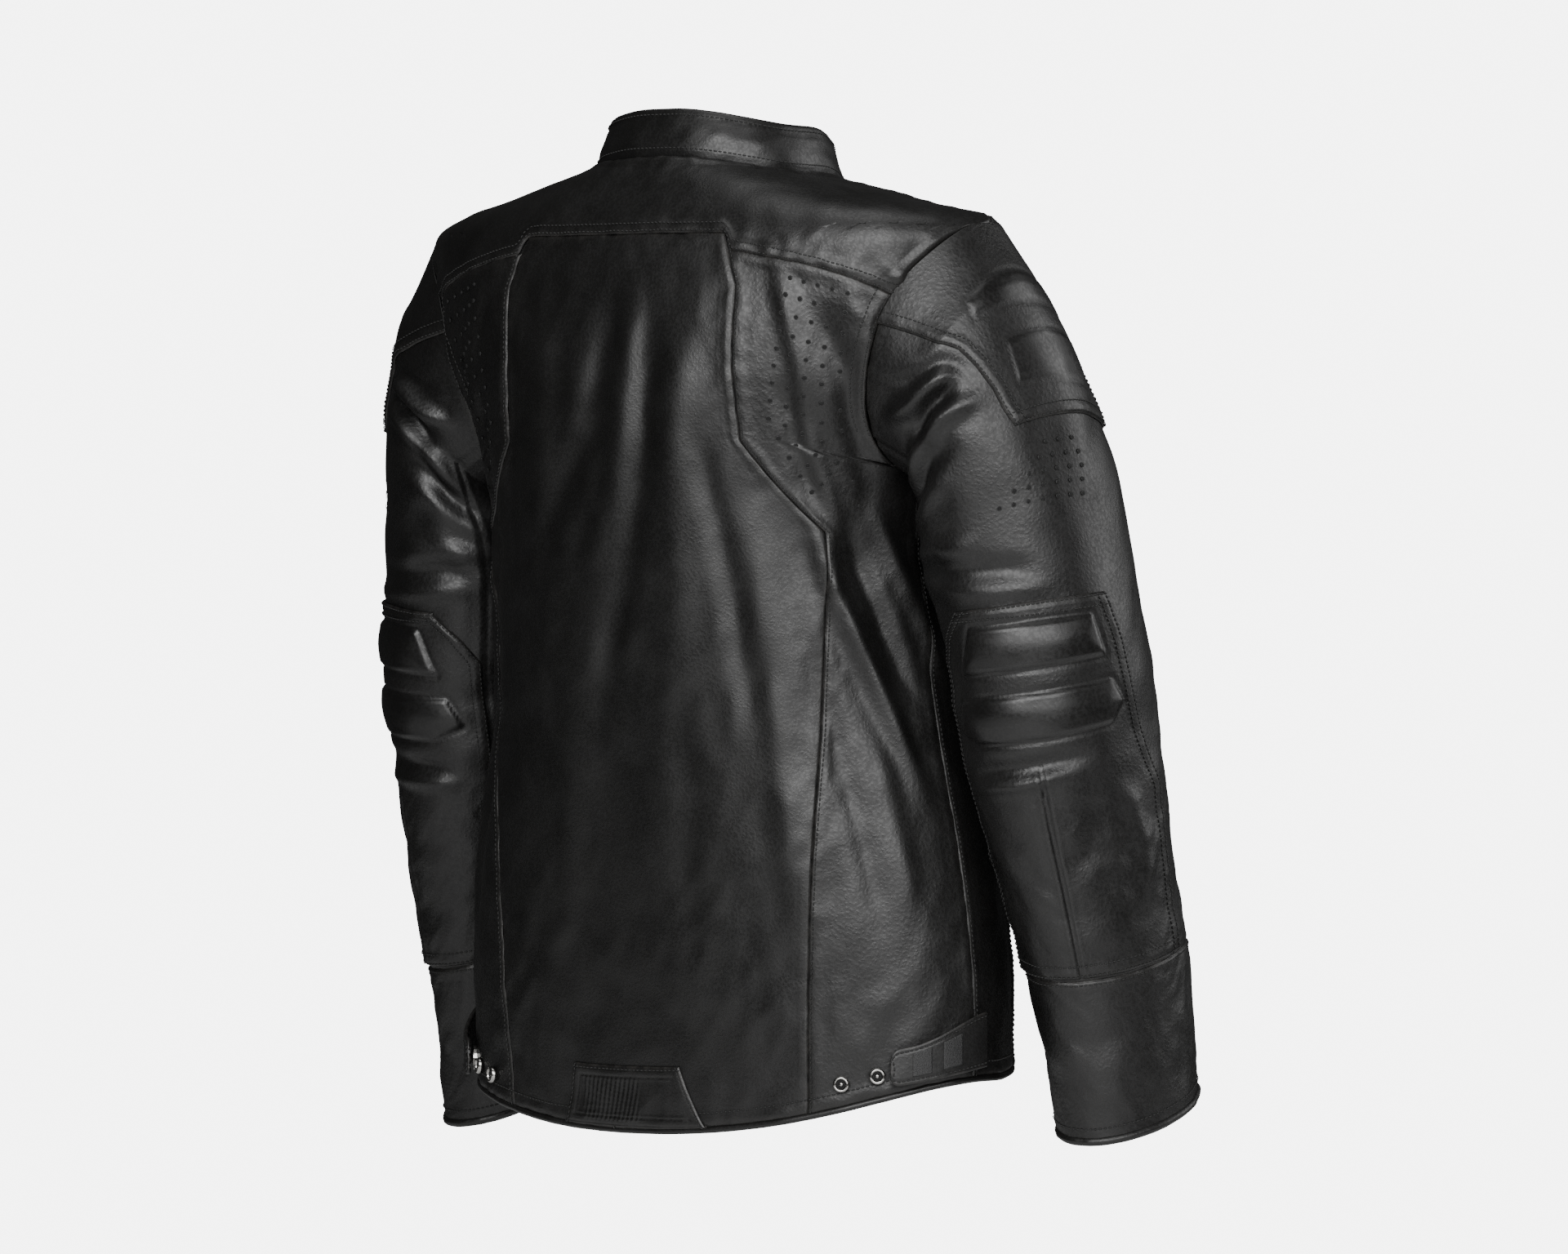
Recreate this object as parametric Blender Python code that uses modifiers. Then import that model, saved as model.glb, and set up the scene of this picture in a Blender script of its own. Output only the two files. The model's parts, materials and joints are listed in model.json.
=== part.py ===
"""Leather riding jacket, as a Blender model: one object for each sewn or fitted piece.

Metres, +Z up, with the origin on the wearer's axis at the height of the collar seam at the back.
The front of the jacket faces -Y, and the wearer's right is -X. Names that end in _left and _right
are the wearer's.
"""

import math
from collections import namedtuple

import bmesh
import bpy
from mathutils import Matrix, Vector

# Overall sizes
BACK_LENGTH = 0.708  # hem to collar seam, down the middle of the back
SHOULDER_WIDTH = 0.480  # shoulder point to shoulder point
SLEEVE_LENGTH = 0.646  # top of the armhole to the cuff edge, straight down

# Sheet goods
LEATHER = 0.0020
LINING = 0.0010
SEAM_GAP = 0.0012  # between the cut edges of neighbouring panels
SIDE_SEAM_GAP = 0.0022
YOKE_FRONT_GAP = 0.0045
LAYER_GAP = 0.0008  # between leather laid on leather
LINING_DEPTH = 0.0050  # outer face of the lining, inside the outer face of the leather

# Armour
BACK_PROTECTOR_THICKNESS = 0.012
LIMB_ARMOUR_THICKNESS = 0.008
ARMOUR_DEPTH = 0.0085  # outer face of the armour, inside the outer face of the leather

# Armhole: an oval seen from the side
ARMHOLE_HEIGHT = 0.180
ARMHOLE_DEPTH = 0.137
ARMHOLE_Y = 0.0335
ARMHOLE_TOP = 0.926  # share of the back length

# Front closure: a straight line from the hem to the neck
FRONT_HEM_DEPTH = 0.122
FRONT_NECK_DEPTH = 0.062
FRONT_HEM_SHARE = 0.103
FRONT_NECK_SHARE = 0.936
ZIP_TAPE_WIDTH = 0.016
ZIP_TAPE_THICKNESS = 0.0010
ZIP_TEETH_WIDTH = 0.0028
ZIP_TEETH_THICKNESS = 0.0026
ZIP_CLEARANCE = 0.0004
FRONT_EDGE = 0.0080  # front panel edge, from the middle of the closure
SLIDER_SIZE = (0.0090, 0.0030, 0.0150)
PULL_SIZE = (0.0060, 0.0014, 0.0300)

# Collar
COLLAR_HEIGHT = 0.034
COLLAR_THICKNESS = 0.0045
COLLAR_LEAN = 0.010
COLLAR_FRONT = 0.008

# Snaps, tabs and small zips
STUD_DIAMETER = 0.0125
STUD_HEIGHT = 0.0026
SOCKET_BORE = 0.0142
SOCKET_DIAMETER = 0.0180
SOCKET_HEIGHT = 0.0022
TAB_WIDTH = 0.027
TAB_THICKNESS = 0.0030
HIDDEN_STUD_DIAMETER = 0.0120
HEM_BINDING_DIAMETER = 0.0044
SMALL_ZIP_WIDTH = 0.012
SMALL_ZIP_THICKNESS = 0.0014
POCKET_ZIP_LENGTH = 0.140
CUFF_ZIP_LENGTH = 0.090
SMALL_SLIDER_SIZE = (0.0080, 0.0030, 0.0110)

TORSO_AXIS_Y = 0.02
NORMAL_STEP = 0.001  # in levels or stations, and radians
INSIDE_DROP = 0.05  # how far the middle of the body lies below a level's side
SIDES = ((1, "left"), (-1, "right"))

Level = namedtuple("Level", "width side_z side_y back back_z front_z")

# Rings round the body, hem to neck. Widths are shares of half the shoulder width, heights are
# shares of the back length, and the two depths are metres.
LEVELS = (
    Level(0.925, 0.056, 0.000, 0.120, 0.000, 0.103),
    Level(0.925, 0.160, 0.000, 0.128, 0.124, 0.195),
    Level(0.885, 0.273, 0.000, 0.137, 0.266, 0.315),
    Level(0.808, 0.407, 0.000, 0.146, 0.407, 0.435),
    Level(0.767, 0.513, 0.000, 0.156, 0.527, 0.541),
    Level(0.742, 0.605, 0.002, 0.163, 0.626, 0.633),
    Level(0.770, 0.675, 0.012, 0.168, 0.718, 0.718),
    Level(0.883, 0.767, 0.020, 0.166, 0.795, 0.795),
    Level(0.975, 0.859, 0.022, 0.158, 0.866, 0.859),
    Level(1.000, 0.927, 0.024, 0.146, 0.927, 0.894),
    Level(0.700, 0.957, 0.026, 0.127, 0.972, 0.922),
    Level(0.367, 0.983, 0.031, 0.109, 1.000, 0.936),
)
HEM, ARMPIT, SHOULDER, NECK = 0.0, 6.0, 9.0, 11.0
FULLNESS = 2.3  # of the rings: 2 is an ellipse, more is squarer

# Half width of the back centre panel at each level, metres
BACK_SEAM = (0.135, 0.139, 0.144, 0.149, 0.151, 0.150, 0.107, 0.104, 0.104, 0.087)
YOKE_MIDDLE, YOKE_STEP, YOKE_ARMHOLE = 8.85, 8.55, 7.90
FRONT_SEAM_ANGLE = math.radians(112)  # side panel to front panel
BACK_SIDE_SEAM_ANGLE = math.radians(84)  # side panel to back side panel
YOKE_FRONT_ANGLE = math.radians(112)
ARMHOLE_SEARCH_ANGLE = 0.2  # from the middle of the back or front: never inside an armhole
ARMPIT_SEARCH = (4.0, 7.5)  # levels that the bottom of the armhole lies between
SHOULDER_MARGIN = 0.2  # in levels, above the shoulder point
ARMHOLE_ROW_MARGIN = 0.02  # in levels, above the top of the armhole
CLOSE_ROWS = 0.15  # in levels: rows closer than this are made one
SEAM_ROWS = (0.0, 1.0, 2.0, 3.0, 4.0, 5.0, 5.5, ARMPIT, 7.0, 7.5, 8.0)  # levels that panels share
YOKE_CORNER = 0.213  # share of the way from the middle of the back to the armhole
YOKE_STEP_RUN = 0.036  # the corner's short slope, a share as above
YOKE_GAP = 0.07  # in levels
LINING_FOOT, LINING_TOP = 0.35, 10.7
LINING_FRONT_EDGE = 0.023
LINING_ARMHOLE_SHARE = 1.25
ARMHOLE_CLEAR_X = 0.12

# Hem: the row that snaps and tabs sit on is a level; the rest is metres from the middle
HEM_ROW = 0.28
STUD_PLACES = (0.159, 0.181)
TAB_END_X = 0.190
TAB_SEAM_ANGLE = math.radians(86)
TAB_END_SHARE = 0.8
PATCH_HALF_WIDTH = 0.070
PATCH_FLARE = 0.022
PATCH_TOP = 0.42  # level

# Places of the zips
ZIP_DEPTH = 0.0035
ZIP_END_GAP = 0.006
PULL_LAP = 0.005
POCKET_TOP, POCKET_LOW = (3.55, 0.125), (2.0, 0.150)  # level, metres from the middle
SMALL_ZIP_LIFT = 0.0040
CUFF_ZIP = (9.55, 10.85)  # stations
CUFF_ZIP_ANGLE = math.radians(200)

# Collar fittings
HANGER_DIAMETER = 0.004
HANGER_WIDTH = 0.060
HANGER_DROOP = 0.012
HANGER_CLEARANCE = 0.007
COLLAR_TAB_REACH = 0.030
COLLAR_TAB_LIFT = 0.0012

# Back protector, as levels and metres
PROTECTOR_LOW, PROTECTOR_TOP = 2.2, 8.3
PROTECTOR_HALF_WIDTH = 0.125
PROTECTOR_TAPER = 0.35

# Sleeve pieces, as stations
STATION_GAP = 0.012
CAP_START, CAP_END = 0.10, 3.0
PANEL_START, PANEL_END = 5.35, 9.80
SHOULDER_ARMOUR = (0.9, 2.9)
ELBOW_ARMOUR = (5.5, 7.9)

Station = namedtuple("Station", "inner outer z_inner z_outer y depth tilt")

# Rings down the sleeve, armhole to cuff. inner is a share of half the shoulder width, outer is
# metres further out, heights are shares of the sleeve length below the top of the armhole.
STATIONS = (
    Station(0.833, 0.040, 0.272, 0.000, 0.0335, 0.0685, 0.00),
    Station(0.821, 0.071, 0.294, 0.067, 0.0240, 0.0760, 0.00),
    Station(0.800, 0.098, 0.316, 0.152, 0.0120, 0.0820, 0.00),
    Station(0.783, 0.118, 0.344, 0.237, 0.0000, 0.0850, 0.00),
    Station(0.775, 0.128, 0.376, 0.319, -0.0080, 0.0850, 0.02),
    Station(0.788, 0.132, 0.427, 0.407, -0.0160, 0.0840, 0.06),
    Station(0.817, 0.131, 0.492, 0.489, -0.0230, 0.0830, 0.10),
    Station(0.833, 0.128, 0.570, 0.573, -0.0330, 0.0810, 0.14),
    Station(0.868, 0.119, 0.644, 0.650, -0.0440, 0.0790, 0.18),
    Station(0.915, 0.108, 0.737, 0.743, -0.0580, 0.0750, 0.22),
    Station(0.955, 0.098, 0.847, 0.861, -0.0760, 0.0700, 0.28),
    Station(0.995, 0.090, 0.990, 1.000, -0.0910, 0.0620, 0.35),
)
ARM_HEAD_END, UPPER_END, GUSSET_END, FOREARM_END, CUFF_END = 4.3, 5.1, 7.25, 9.95, 11.0
ELBOW = 6.2  # station of the elbow's bend
SLEEVE_SIDES = 18


def clear_scene():
    """Start from nothing."""
    for old in list(bpy.data.objects):
        bpy.data.objects.remove(old, do_unlink=True)


def principled(name, colour, roughness, metallic=0.0):
    """A plain material."""
    made = bpy.data.materials.new(name)
    made.use_nodes = True
    shader = made.node_tree.nodes["Principled BSDF"]
    shader.inputs["Base Color"].default_value = (*colour, 1.0)
    shader.inputs["Roughness"].default_value = roughness
    shader.inputs["Metallic"].default_value = metallic
    made.diffuse_color = (*colour, 1.0)
    return made


def catmull(values, place):
    """The value at a fractional place along a list, on a smooth curve through its values."""
    last = len(values) - 1
    place = min(max(place, 0.0), float(last))
    low = min(int(place), last - 1)
    step = place - low
    before, start, end, after = (values[min(max(low + k, 0), last)] for k in (-1, 0, 1, 2))
    rise_start, rise_end = 0.5 * (end - before), 0.5 * (after - start)
    square, cube = step * step, step * step * step
    return (
        (2 * cube - 3 * square + 1) * start
        + (cube - 2 * square + step) * rise_start
        + (3 * square - 2 * cube) * end
        + (cube - square) * rise_end
    )


def straight(values, place):
    """The value at a fractional place along a list, on straight runs."""
    last = len(values) - 1
    place = min(max(place, 0.0), float(last))
    low = min(int(place), last - 1)
    return values[low] + (values[low + 1] - values[low]) * (place - low)


def spaced(start, end, count):
    """count + 1 values from start to end."""
    return [start + (end - start) * k / count for k in range(count + 1)]


def height(share):
    """A share of the back length, as a height."""
    return (share - 1) * BACK_LENGTH


def level(name, place):
    """One column of LEVELS, read smoothly."""
    return catmull([getattr(row, name) for row in LEVELS], place)


def front_depth(z):
    """How far the closure lies in front of the wearer's axis at a height: a straight line."""
    low, high = height(FRONT_HEM_SHARE), height(FRONT_NECK_SHARE)
    return FRONT_HEM_DEPTH + (FRONT_NECK_DEPTH - FRONT_HEM_DEPTH) * (z - low) / (high - low)


def half_width(place):
    """Half the width of the body at a level."""
    return level("width", place) * SHOULDER_WIDTH / 2


def torso(place, angle):
    """A point on the outside of the body. The angle is 0 at the back and positive to the left."""
    across, along = math.sin(abs(angle)), math.cos(angle)
    power = 2 / FULLNESS
    x = half_width(place) * max(across, 0.0) ** power
    side_y, side_z = level("side_y", place), height(level("side_z", place))
    end_z = height(level("back_z" if along > 0 else "front_z", place))
    reach = level("back", place) - side_y if along > 0 else front_depth(end_z) + side_y
    y = side_y + math.copysign(reach * abs(along) ** power, along)
    z = end_z + (side_z - end_z) * across * across
    return Vector((math.copysign(x, angle), y, z))


def angle_at_width(place, x, front=False):
    """The angle where a level is x wide of the middle."""
    share = min(x / half_width(place), 1.0) ** (FULLNESS / 2)
    angle = math.asin(share)
    return math.pi - angle if front else angle


def armhole_height():
    """The height of the middle of the armhole."""
    return height(ARMHOLE_TOP) - ARMHOLE_HEIGHT / 2


def armhole_share(point):
    """Less than 1 inside the armhole, 1 on its edge."""
    y = (point.y - ARMHOLE_Y) / (ARMHOLE_DEPTH / 2)
    z = (point.z - armhole_height()) / (ARMHOLE_HEIGHT / 2)
    return y * y + z * z


def bisect(test, low, high, halvings=24):
    """Where test turns true between low and high."""
    for _ in range(halvings):
        middle = (low + high) / 2
        low, high = (low, middle) if test(middle) else (middle, high)
    return (low + high) / 2


def armhole_angle(place, otherwise, front=False):
    """The angle where a level meets the armhole, or the given angle where it misses it."""
    middle = math.pi / 2
    start = math.pi - ARMHOLE_SEARCH_ANGLE if front else ARMHOLE_SEARCH_ANGLE
    if armhole_share(torso(place, middle)) >= 1:
        return otherwise
    share = bisect(lambda s: armhole_share(torso(place, start + (middle - start) * s)) < 1, 0.0, 1.0)
    return start + (middle - start) * share


def armpit_place():
    """The level whose side is the bottom of the armhole."""
    return bisect(lambda v: armhole_share(torso(v, math.pi / 2)) < 1, *ARMPIT_SEARCH)


def armhole_top_place():
    """The level just above the top of the armhole."""
    found = bisect(lambda v: armhole_share(torso(v, math.pi / 2)) > 1, ARMPIT_SEARCH[1], NECK)
    return found + ARMHOLE_ROW_MARGIN


def body_side(y, z):
    """The point on the side of the body at a given depth and height."""

    def on_ring(place):
        side_y = level("side_y", place)
        if y >= side_y:
            reach = level("back", place) - side_y
        else:
            reach = front_depth(z) + side_y
        share = min(abs(y - side_y) / reach, 1.0)
        angle = math.acos(share ** (FULLNESS / 2))
        return torso(place, angle if y >= side_y else math.pi - angle)

    place = bisect(lambda v: on_ring(v).z > z, ARMPIT_SEARCH[0], SHOULDER + SHOULDER_MARGIN)
    return on_ring(place)


def armhole_point(angle):
    """A point on the armhole's edge: 0 is the top, positive towards the back."""
    y = ARMHOLE_Y + ARMHOLE_DEPTH / 2 * math.sin(angle)
    z = armhole_height() + ARMHOLE_HEIGHT / 2 * math.cos(angle)
    found = body_side(y, z)
    return Vector((found.x + SEAM_GAP, y, z))


def station(name, place):
    """One column of STATIONS, read smoothly."""
    return catmull([getattr(row, name) for row in STATIONS], place)


def sleeve_ring(place, angle):
    """A point on a ring of the left sleeve."""
    top = height(ARMHOLE_TOP)
    inner_x = station("inner", place) * SHOULDER_WIDTH / 2
    inner = Vector((inner_x, 0, top - station("z_inner", place) * SLEEVE_LENGTH))
    outer_x = inner_x + station("outer", place)
    outer = Vector((outer_x, 0, top - station("z_outer", place) * SLEEVE_LENGTH))
    rise = station("depth", place) * math.sin(angle)
    point = (inner + outer) / 2 + (outer - inner) / 2 * math.cos(angle)
    point.y = station("y", place) + rise
    point.z -= station("tilt", place) * rise
    return point


def sleeve(place, angle):
    """A point on the outside of the left sleeve: angle 0 is the outer side, positive to the back."""
    point = sleeve_ring(place, angle)
    if place < 1:
        point = armhole_point(angle).lerp(sleeve_ring(1, angle), place)
    return point


def sleeve_middle(place):
    """The middle of the left sleeve at a station."""
    return (sleeve(place, 0) + sleeve(place, math.pi)) / 2


def normal_of(surface, a, b, outside):
    """The unit normal of a surface that faces away from the point outside(a, b) names as inner."""
    step = NORMAL_STEP
    along = surface(a + step, b) - surface(a - step, b)
    across = surface(a, b + step) - surface(a, b - step)
    normal = along.cross(across).normalized()
    return normal if normal.dot(surface(a, b) - outside(a)) > 0 else -normal


def torso_inside(place):
    """A point well inside the body at a level."""
    return Vector((0, TORSO_AXIS_Y, height(level("side_z", place)) - INSIDE_DROP))


def torso_offset(depth):
    """The body's surface, moved outwards by depth."""
    return lambda v, angle: torso(v, angle) + normal_of(torso, v, angle, torso_inside) * depth


def sleeve_inside(place):
    """A point on the sleeve's middle line."""
    return sleeve_middle(min(max(place, 0.0), CUFF_END))


def sleeve_offset(depth, side):
    """The sleeve's surface on one side, moved outwards by depth."""

    def point(place, angle):
        low = min(max(place, 2e-3), CUFF_END - 2e-3)
        found = sleeve(place, angle) + normal_of(sleeve, low, angle, sleeve_inside) * depth
        return Vector((side * found.x, found.y, found.z))

    return point


def new_object(name, mesh, material):
    """Put a mesh in the jacket's collection."""
    made = bpy.data.objects.new(name, mesh)
    made.data.materials.append(material)
    jacket.objects.link(made)
    return made


def finish_bmesh(name, shape, material, smooth=True):
    """Turn a bmesh into an object with outward normals."""
    bmesh.ops.recalc_face_normals(shape, faces=shape.faces)
    mesh = bpy.data.meshes.new(name)
    shape.to_mesh(mesh)
    shape.free()
    mesh.shade_smooth() if smooth else mesh.shade_flat()
    return new_object(name, mesh, material)


def sheet(name, grid, thickness, material, outward, wrap=False):
    """A sewn panel: an open grid of points, given thickness inwards."""
    shape = bmesh.new()
    rows = [[shape.verts.new(point) for point in row] for row in grid]
    for low, high in zip(rows, rows[1:]):
        count = len(low)
        for k in range(count if wrap else count - 1):
            following = (k + 1) % count
            shape.faces.new((low[k], low[following], high[following], high[k]))
    shape.normal_update()
    middle = shape.faces[:][len(shape.faces) // 2]
    if middle.normal.dot(middle.calc_center_median() - outward) < 0:
        bmesh.ops.reverse_faces(shape, faces=shape.faces)
    mesh = bpy.data.meshes.new(name)
    shape.to_mesh(mesh)
    shape.free()
    mesh.shade_smooth()
    made = new_object(name, mesh, material)
    solid = made.modifiers.new("thickness", "SOLIDIFY")
    solid.thickness = thickness
    solid.offset = -1
    return made


def body_panel(name, depth, thickness, material, rows, columns, where):
    """A panel of the body. where(t, r) gives the level and angle of column t in row r."""
    surface = torso_offset(depth)
    grid = [[surface(*where(t, r)) for t in columns] for r in rows]
    middle = where(columns[len(columns) // 2], rows[len(rows) // 2])
    return sheet(name, grid, thickness, material, torso_inside(middle[0]))


def sleeve_panel(name, side, depth, thickness, material, places, angles, wrap=False):
    """A panel or a whole tube of a sleeve, between two stations and two angles."""
    surface = sleeve_offset(depth, side)
    grid = [[surface(place, angle) for angle in angles] for place in places]
    middle = sleeve_middle(places[len(places) // 2])
    inside = Vector((side * middle.x, middle.y, middle.z))
    return sheet(name, grid, thickness, material, inside, wrap)


def block(name, size, centre, turn, material, bevel=0.0004):
    """A bevelled block."""
    shape = bmesh.new()
    bmesh.ops.create_cube(shape, size=1)
    bmesh.ops.scale(shape, vec=size, verts=shape.verts)
    made = finish_bmesh(name, shape, material, smooth=False)
    made.matrix_world = Matrix.Translation(centre) @ turn.to_4x4()
    rounded = made.modifiers.new("edges", "BEVEL")
    rounded.width = bevel
    rounded.segments = 1
    return made


def upright_turn(normal, up):
    """A turn that takes +Y to the normal and +Z as near to up as it can."""
    across = normal.cross(up).normalized()
    rise = across.cross(normal).normalized()
    return Matrix((across, normal.normalized(), rise)).transposed()


def stud(name, foot, normal, diameter, tall, material):
    """A snap stud: a short round post on the leather."""
    shape = bmesh.new()
    bmesh.ops.create_cone(
        shape, cap_ends=True, segments=16, radius1=diameter / 2, radius2=diameter / 2, depth=tall
    )
    made = finish_bmesh(name, shape, material)
    turn = normal.to_track_quat("Z", "Y").to_matrix().to_4x4()
    made.matrix_world = Matrix.Translation(foot + normal * (LAYER_GAP + tall / 2)) @ turn
    return made


def ring_socket(name, foot, normal, material):
    """A snap socket: a short ring round its stud."""
    inner, outer, tall = SOCKET_BORE / 2, SOCKET_DIAMETER / 2, SOCKET_HEIGHT
    profile = [(inner, 0), (outer, 0), (outer, tall), (inner, tall)]
    mesh = bpy.data.meshes.new(name)
    mesh.from_pydata([(r, 0, z) for r, z in reversed(profile)], [(0, 1), (1, 2), (2, 3), (3, 0)], [])
    made = new_object(name, mesh, material)
    turned = made.modifiers.new("turned", "SCREW")
    turned.steps = turned.render_steps = 16
    turned.use_merge_vertices = True
    turned.merge_threshold = 0.0001
    turn = normal.to_track_quat("Z", "Y").to_matrix().to_4x4()
    made.matrix_world = Matrix.Translation(foot + normal * LAYER_GAP) @ turn
    return made


def back_angle(place):
    """The angle of the seam beside the back centre panel."""
    return angle_at_width(place, straight(BACK_SEAM, place))


def arc_gap(place, gap):
    """A gap along the body, as an angle."""
    return gap / half_width(place)


def back_side_edge(place):
    """The outer edge of the back side panel: the side seam, then the armhole."""
    return armhole_angle(place, BACK_SIDE_SEAM_ANGLE)


def rows_through(low, kink, high, below, above):
    """Row values with one exactly at the kink."""
    return spaced(low, kink, below) + spaced(kink, high, above)[1:]


def make_back(leather):
    """Centre panel, perforated side panels and yoke."""
    body_panel(
        "back_panel",
        0,
        LEATHER,
        leather,
        [*SEAM_ROWS, YOKE_MIDDLE],
        spaced(-1, 1, 8),
        lambda t, r: (r, t * (back_angle(r) - arc_gap(r, SEAM_GAP))),
    )
    inner = [*SEAM_ROWS, YOKE_STEP]
    outer = rows_through(0.0, armpit_place(), YOKE_ARMHOLE, SEAM_ROWS.index(ARMPIT), 4)
    for side, tag in SIDES:

        def where(t, r, side=side):
            place = inner[r] + (outer[r] - inner[r]) * t
            near = back_angle(place)
            return place, side * (near + (back_side_edge(place) - near) * t)

        rows = range(len(inner))
        body_panel(f"back_side_panel_{tag}", 0, LEATHER, leather, rows, spaced(0, 1, 4), where)
    make_yoke(leather)


def yoke_edge(place):
    """The outer edge of the yoke: the armhole, then the seam in front of the shoulder."""
    return armhole_angle(place, YOKE_FRONT_ANGLE)


def yoke_foot(t):
    """The level of the yoke's lower edge, at a share of the way to the armhole."""
    if abs(t) <= YOKE_CORNER:
        return YOKE_MIDDLE
    share = (abs(t) - YOKE_CORNER) / (1 - YOKE_CORNER)
    return YOKE_STEP + (YOKE_ARMHOLE - YOKE_STEP) * share


def make_yoke(leather):
    """One piece over the back of both shoulders."""

    def where(t, r):
        foot = yoke_foot(t) + YOKE_GAP
        place = foot + (NECK - foot) * r
        corner = back_angle(YOKE_MIDDLE) + arc_gap(YOKE_MIDDLE, 2 * SEAM_GAP)
        if abs(t) <= YOKE_CORNER:
            return place, corner * t / YOKE_CORNER
        share = (abs(t) - YOKE_CORNER) / (1 - YOKE_CORNER)
        return place, math.copysign(corner + (yoke_edge(place) - corner) * share, t)

    side = spaced(YOKE_CORNER + YOKE_STEP_RUN, 1, 5)
    columns = [-t for t in reversed(side)] + spaced(-YOKE_CORNER, YOKE_CORNER, 4) + side
    body_panel("back_yoke", 0, LEATHER, leather, spaced(0, 1, 9), columns, where)


def make_front(leather):
    """Front panels and the side panels under the arms."""
    lowest = armpit_place()
    top = lowest - YOKE_GAP
    below = spaced(0.0, lowest, 8)
    shoulder = armhole_top_place()
    above = [row for row in spaced(lowest, NECK, 8)[1:] if abs(row - shoulder) > CLOSE_ROWS]
    rows = sorted([*below, *above, shoulder])
    for side, tag in SIDES:

        def side_where(t, r, side=side):
            gap = arc_gap(r, SIDE_SEAM_GAP)
            low, high = BACK_SIDE_SEAM_ANGLE + gap, FRONT_SEAM_ANGLE - gap
            return r, side * (low + (high - low) * t)

        def front_where(t, r, side=side):
            far = angle_at_width(r, FRONT_EDGE, front=True)
            near = front_side_edge(r)
            return r, side * (near + (far - near) * t)

        body_panel(f"side_panel_{tag}", 0, LEATHER, leather, [*below[:8], top], spaced(0, 1, 2), side_where)
        body_panel(f"front_panel_{tag}", 0, LEATHER, leather, rows, spaced(0, 1, 6), front_where)


def front_side_edge(place):
    """The outer edge of the front panel: side seam, armhole, then the yoke seam."""
    if place <= armpit_place():
        return FRONT_SEAM_ANGLE
    return armhole_angle(place, YOKE_FRONT_ANGLE + arc_gap(place, YOKE_FRONT_GAP), front=True)


def make_lining(lining):
    """The body lining: a vest shape with open armholes and an open front."""
    surface = torso_offset(-LINING_DEPTH)
    shape = bmesh.new()
    rows = []
    for place in spaced(LINING_FOOT, LINING_TOP, 15):
        far = angle_at_width(place, LINING_FRONT_EDGE, front=True)
        rows.append([shape.verts.new(surface(place, far * t)) for t in spaced(-1, 1, 22)])
    for low, high in zip(rows, rows[1:]):
        for a, b, c, d in zip(low, low[1:], high[1:], high):
            middle = (a.co + b.co + c.co + d.co) / 4
            if armhole_share(middle) > LINING_ARMHOLE_SHARE or abs(middle.x) < ARMHOLE_CLEAR_X:
                shape.faces.new((a, b, c, d))
    loose = [vert for vert in shape.verts if not vert.link_faces]
    bmesh.ops.delete(shape, geom=loose, context="VERTS")
    bmesh.ops.recalc_face_normals(shape, faces=shape.faces)
    shape.faces.ensure_lookup_table()
    first = shape.faces[0]
    if first.normal.dot(first.calc_center_median() - torso_inside(0.5)) < 0:
        bmesh.ops.reverse_faces(shape, faces=shape.faces)
    mesh = bpy.data.meshes.new("torso_lining")
    shape.to_mesh(mesh)
    shape.free()
    mesh.shade_smooth()
    made = new_object("torso_lining", mesh, lining)
    solid = made.modifiers.new("thickness", "SOLIDIFY")
    solid.thickness = LINING
    solid.offset = -1


def collar_point(angle, share):
    """A point on the outside of the collar."""
    foot = torso(NECK, angle)
    middle = Vector((0, TORSO_AXIS_Y, foot.z))
    outwards = (foot - middle).normalized()
    rise = SEAM_GAP + COLLAR_HEIGHT * share
    return foot - outwards * (COLLAR_LEAN * share) + Vector((0, 0, rise))


def make_collar(leather, lining, nickel):
    """Stand-up collar, its snap tab and the loop that the jacket hangs by."""
    reach = angle_at_width(NECK, COLLAR_FRONT, front=True)
    angles = spaced(-reach, reach, 22)
    grid = [[collar_point(angle, share) for angle in angles] for share in spaced(0, 1, 2)]
    sheet("collar", grid, COLLAR_THICKNESS, leather, Vector((0, TORSO_AXIS_Y, grid[0][0].z)))

    loop = bpy.data.curves.new("hanger_loop", "CURVE")
    loop.dimensions = "3D"
    loop.bevel_depth = HANGER_DIAMETER / 2
    loop.bevel_resolution = 2
    loop.use_fill_caps = True
    run = loop.splines.new("POLY")
    foot = collar_point(0, 0.4)
    inner = foot.y - COLLAR_THICKNESS - HANGER_DIAMETER / 2 - HANGER_CLEARANCE
    arc = [math.pi * k / 10 for k in range(11)]
    run.points.add(len(arc) - 1)
    for point, turn in zip(run.points, arc):
        x = HANGER_WIDTH / 2 * math.cos(turn)
        point.co = (x, inner - HANGER_DROOP * math.sin(turn), foot.z - HANGER_DROOP * math.sin(turn), 1)
    new_object("hanger_loop", loop, lining)

    line = [collar_front_point(x) for x in spaced(-COLLAR_TAB_REACH, COLLAR_TAB_REACH, 8)]
    make_tab("collar_tab", line, leather, nickel)


def collar_front_point(x):
    """A point on the collar's front and the way it faces, across the opening too."""
    angle = angle_at_width(NECK, abs(x), front=True)
    foot = collar_point(math.copysign(angle, x), 0.5)
    foot.x = x
    out = normal_of(torso, NECK - 0.01, math.copysign(angle, x), torso_inside)
    out.z = 0
    out.normalize()
    return foot + out * COLLAR_TAB_LIFT, out


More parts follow.
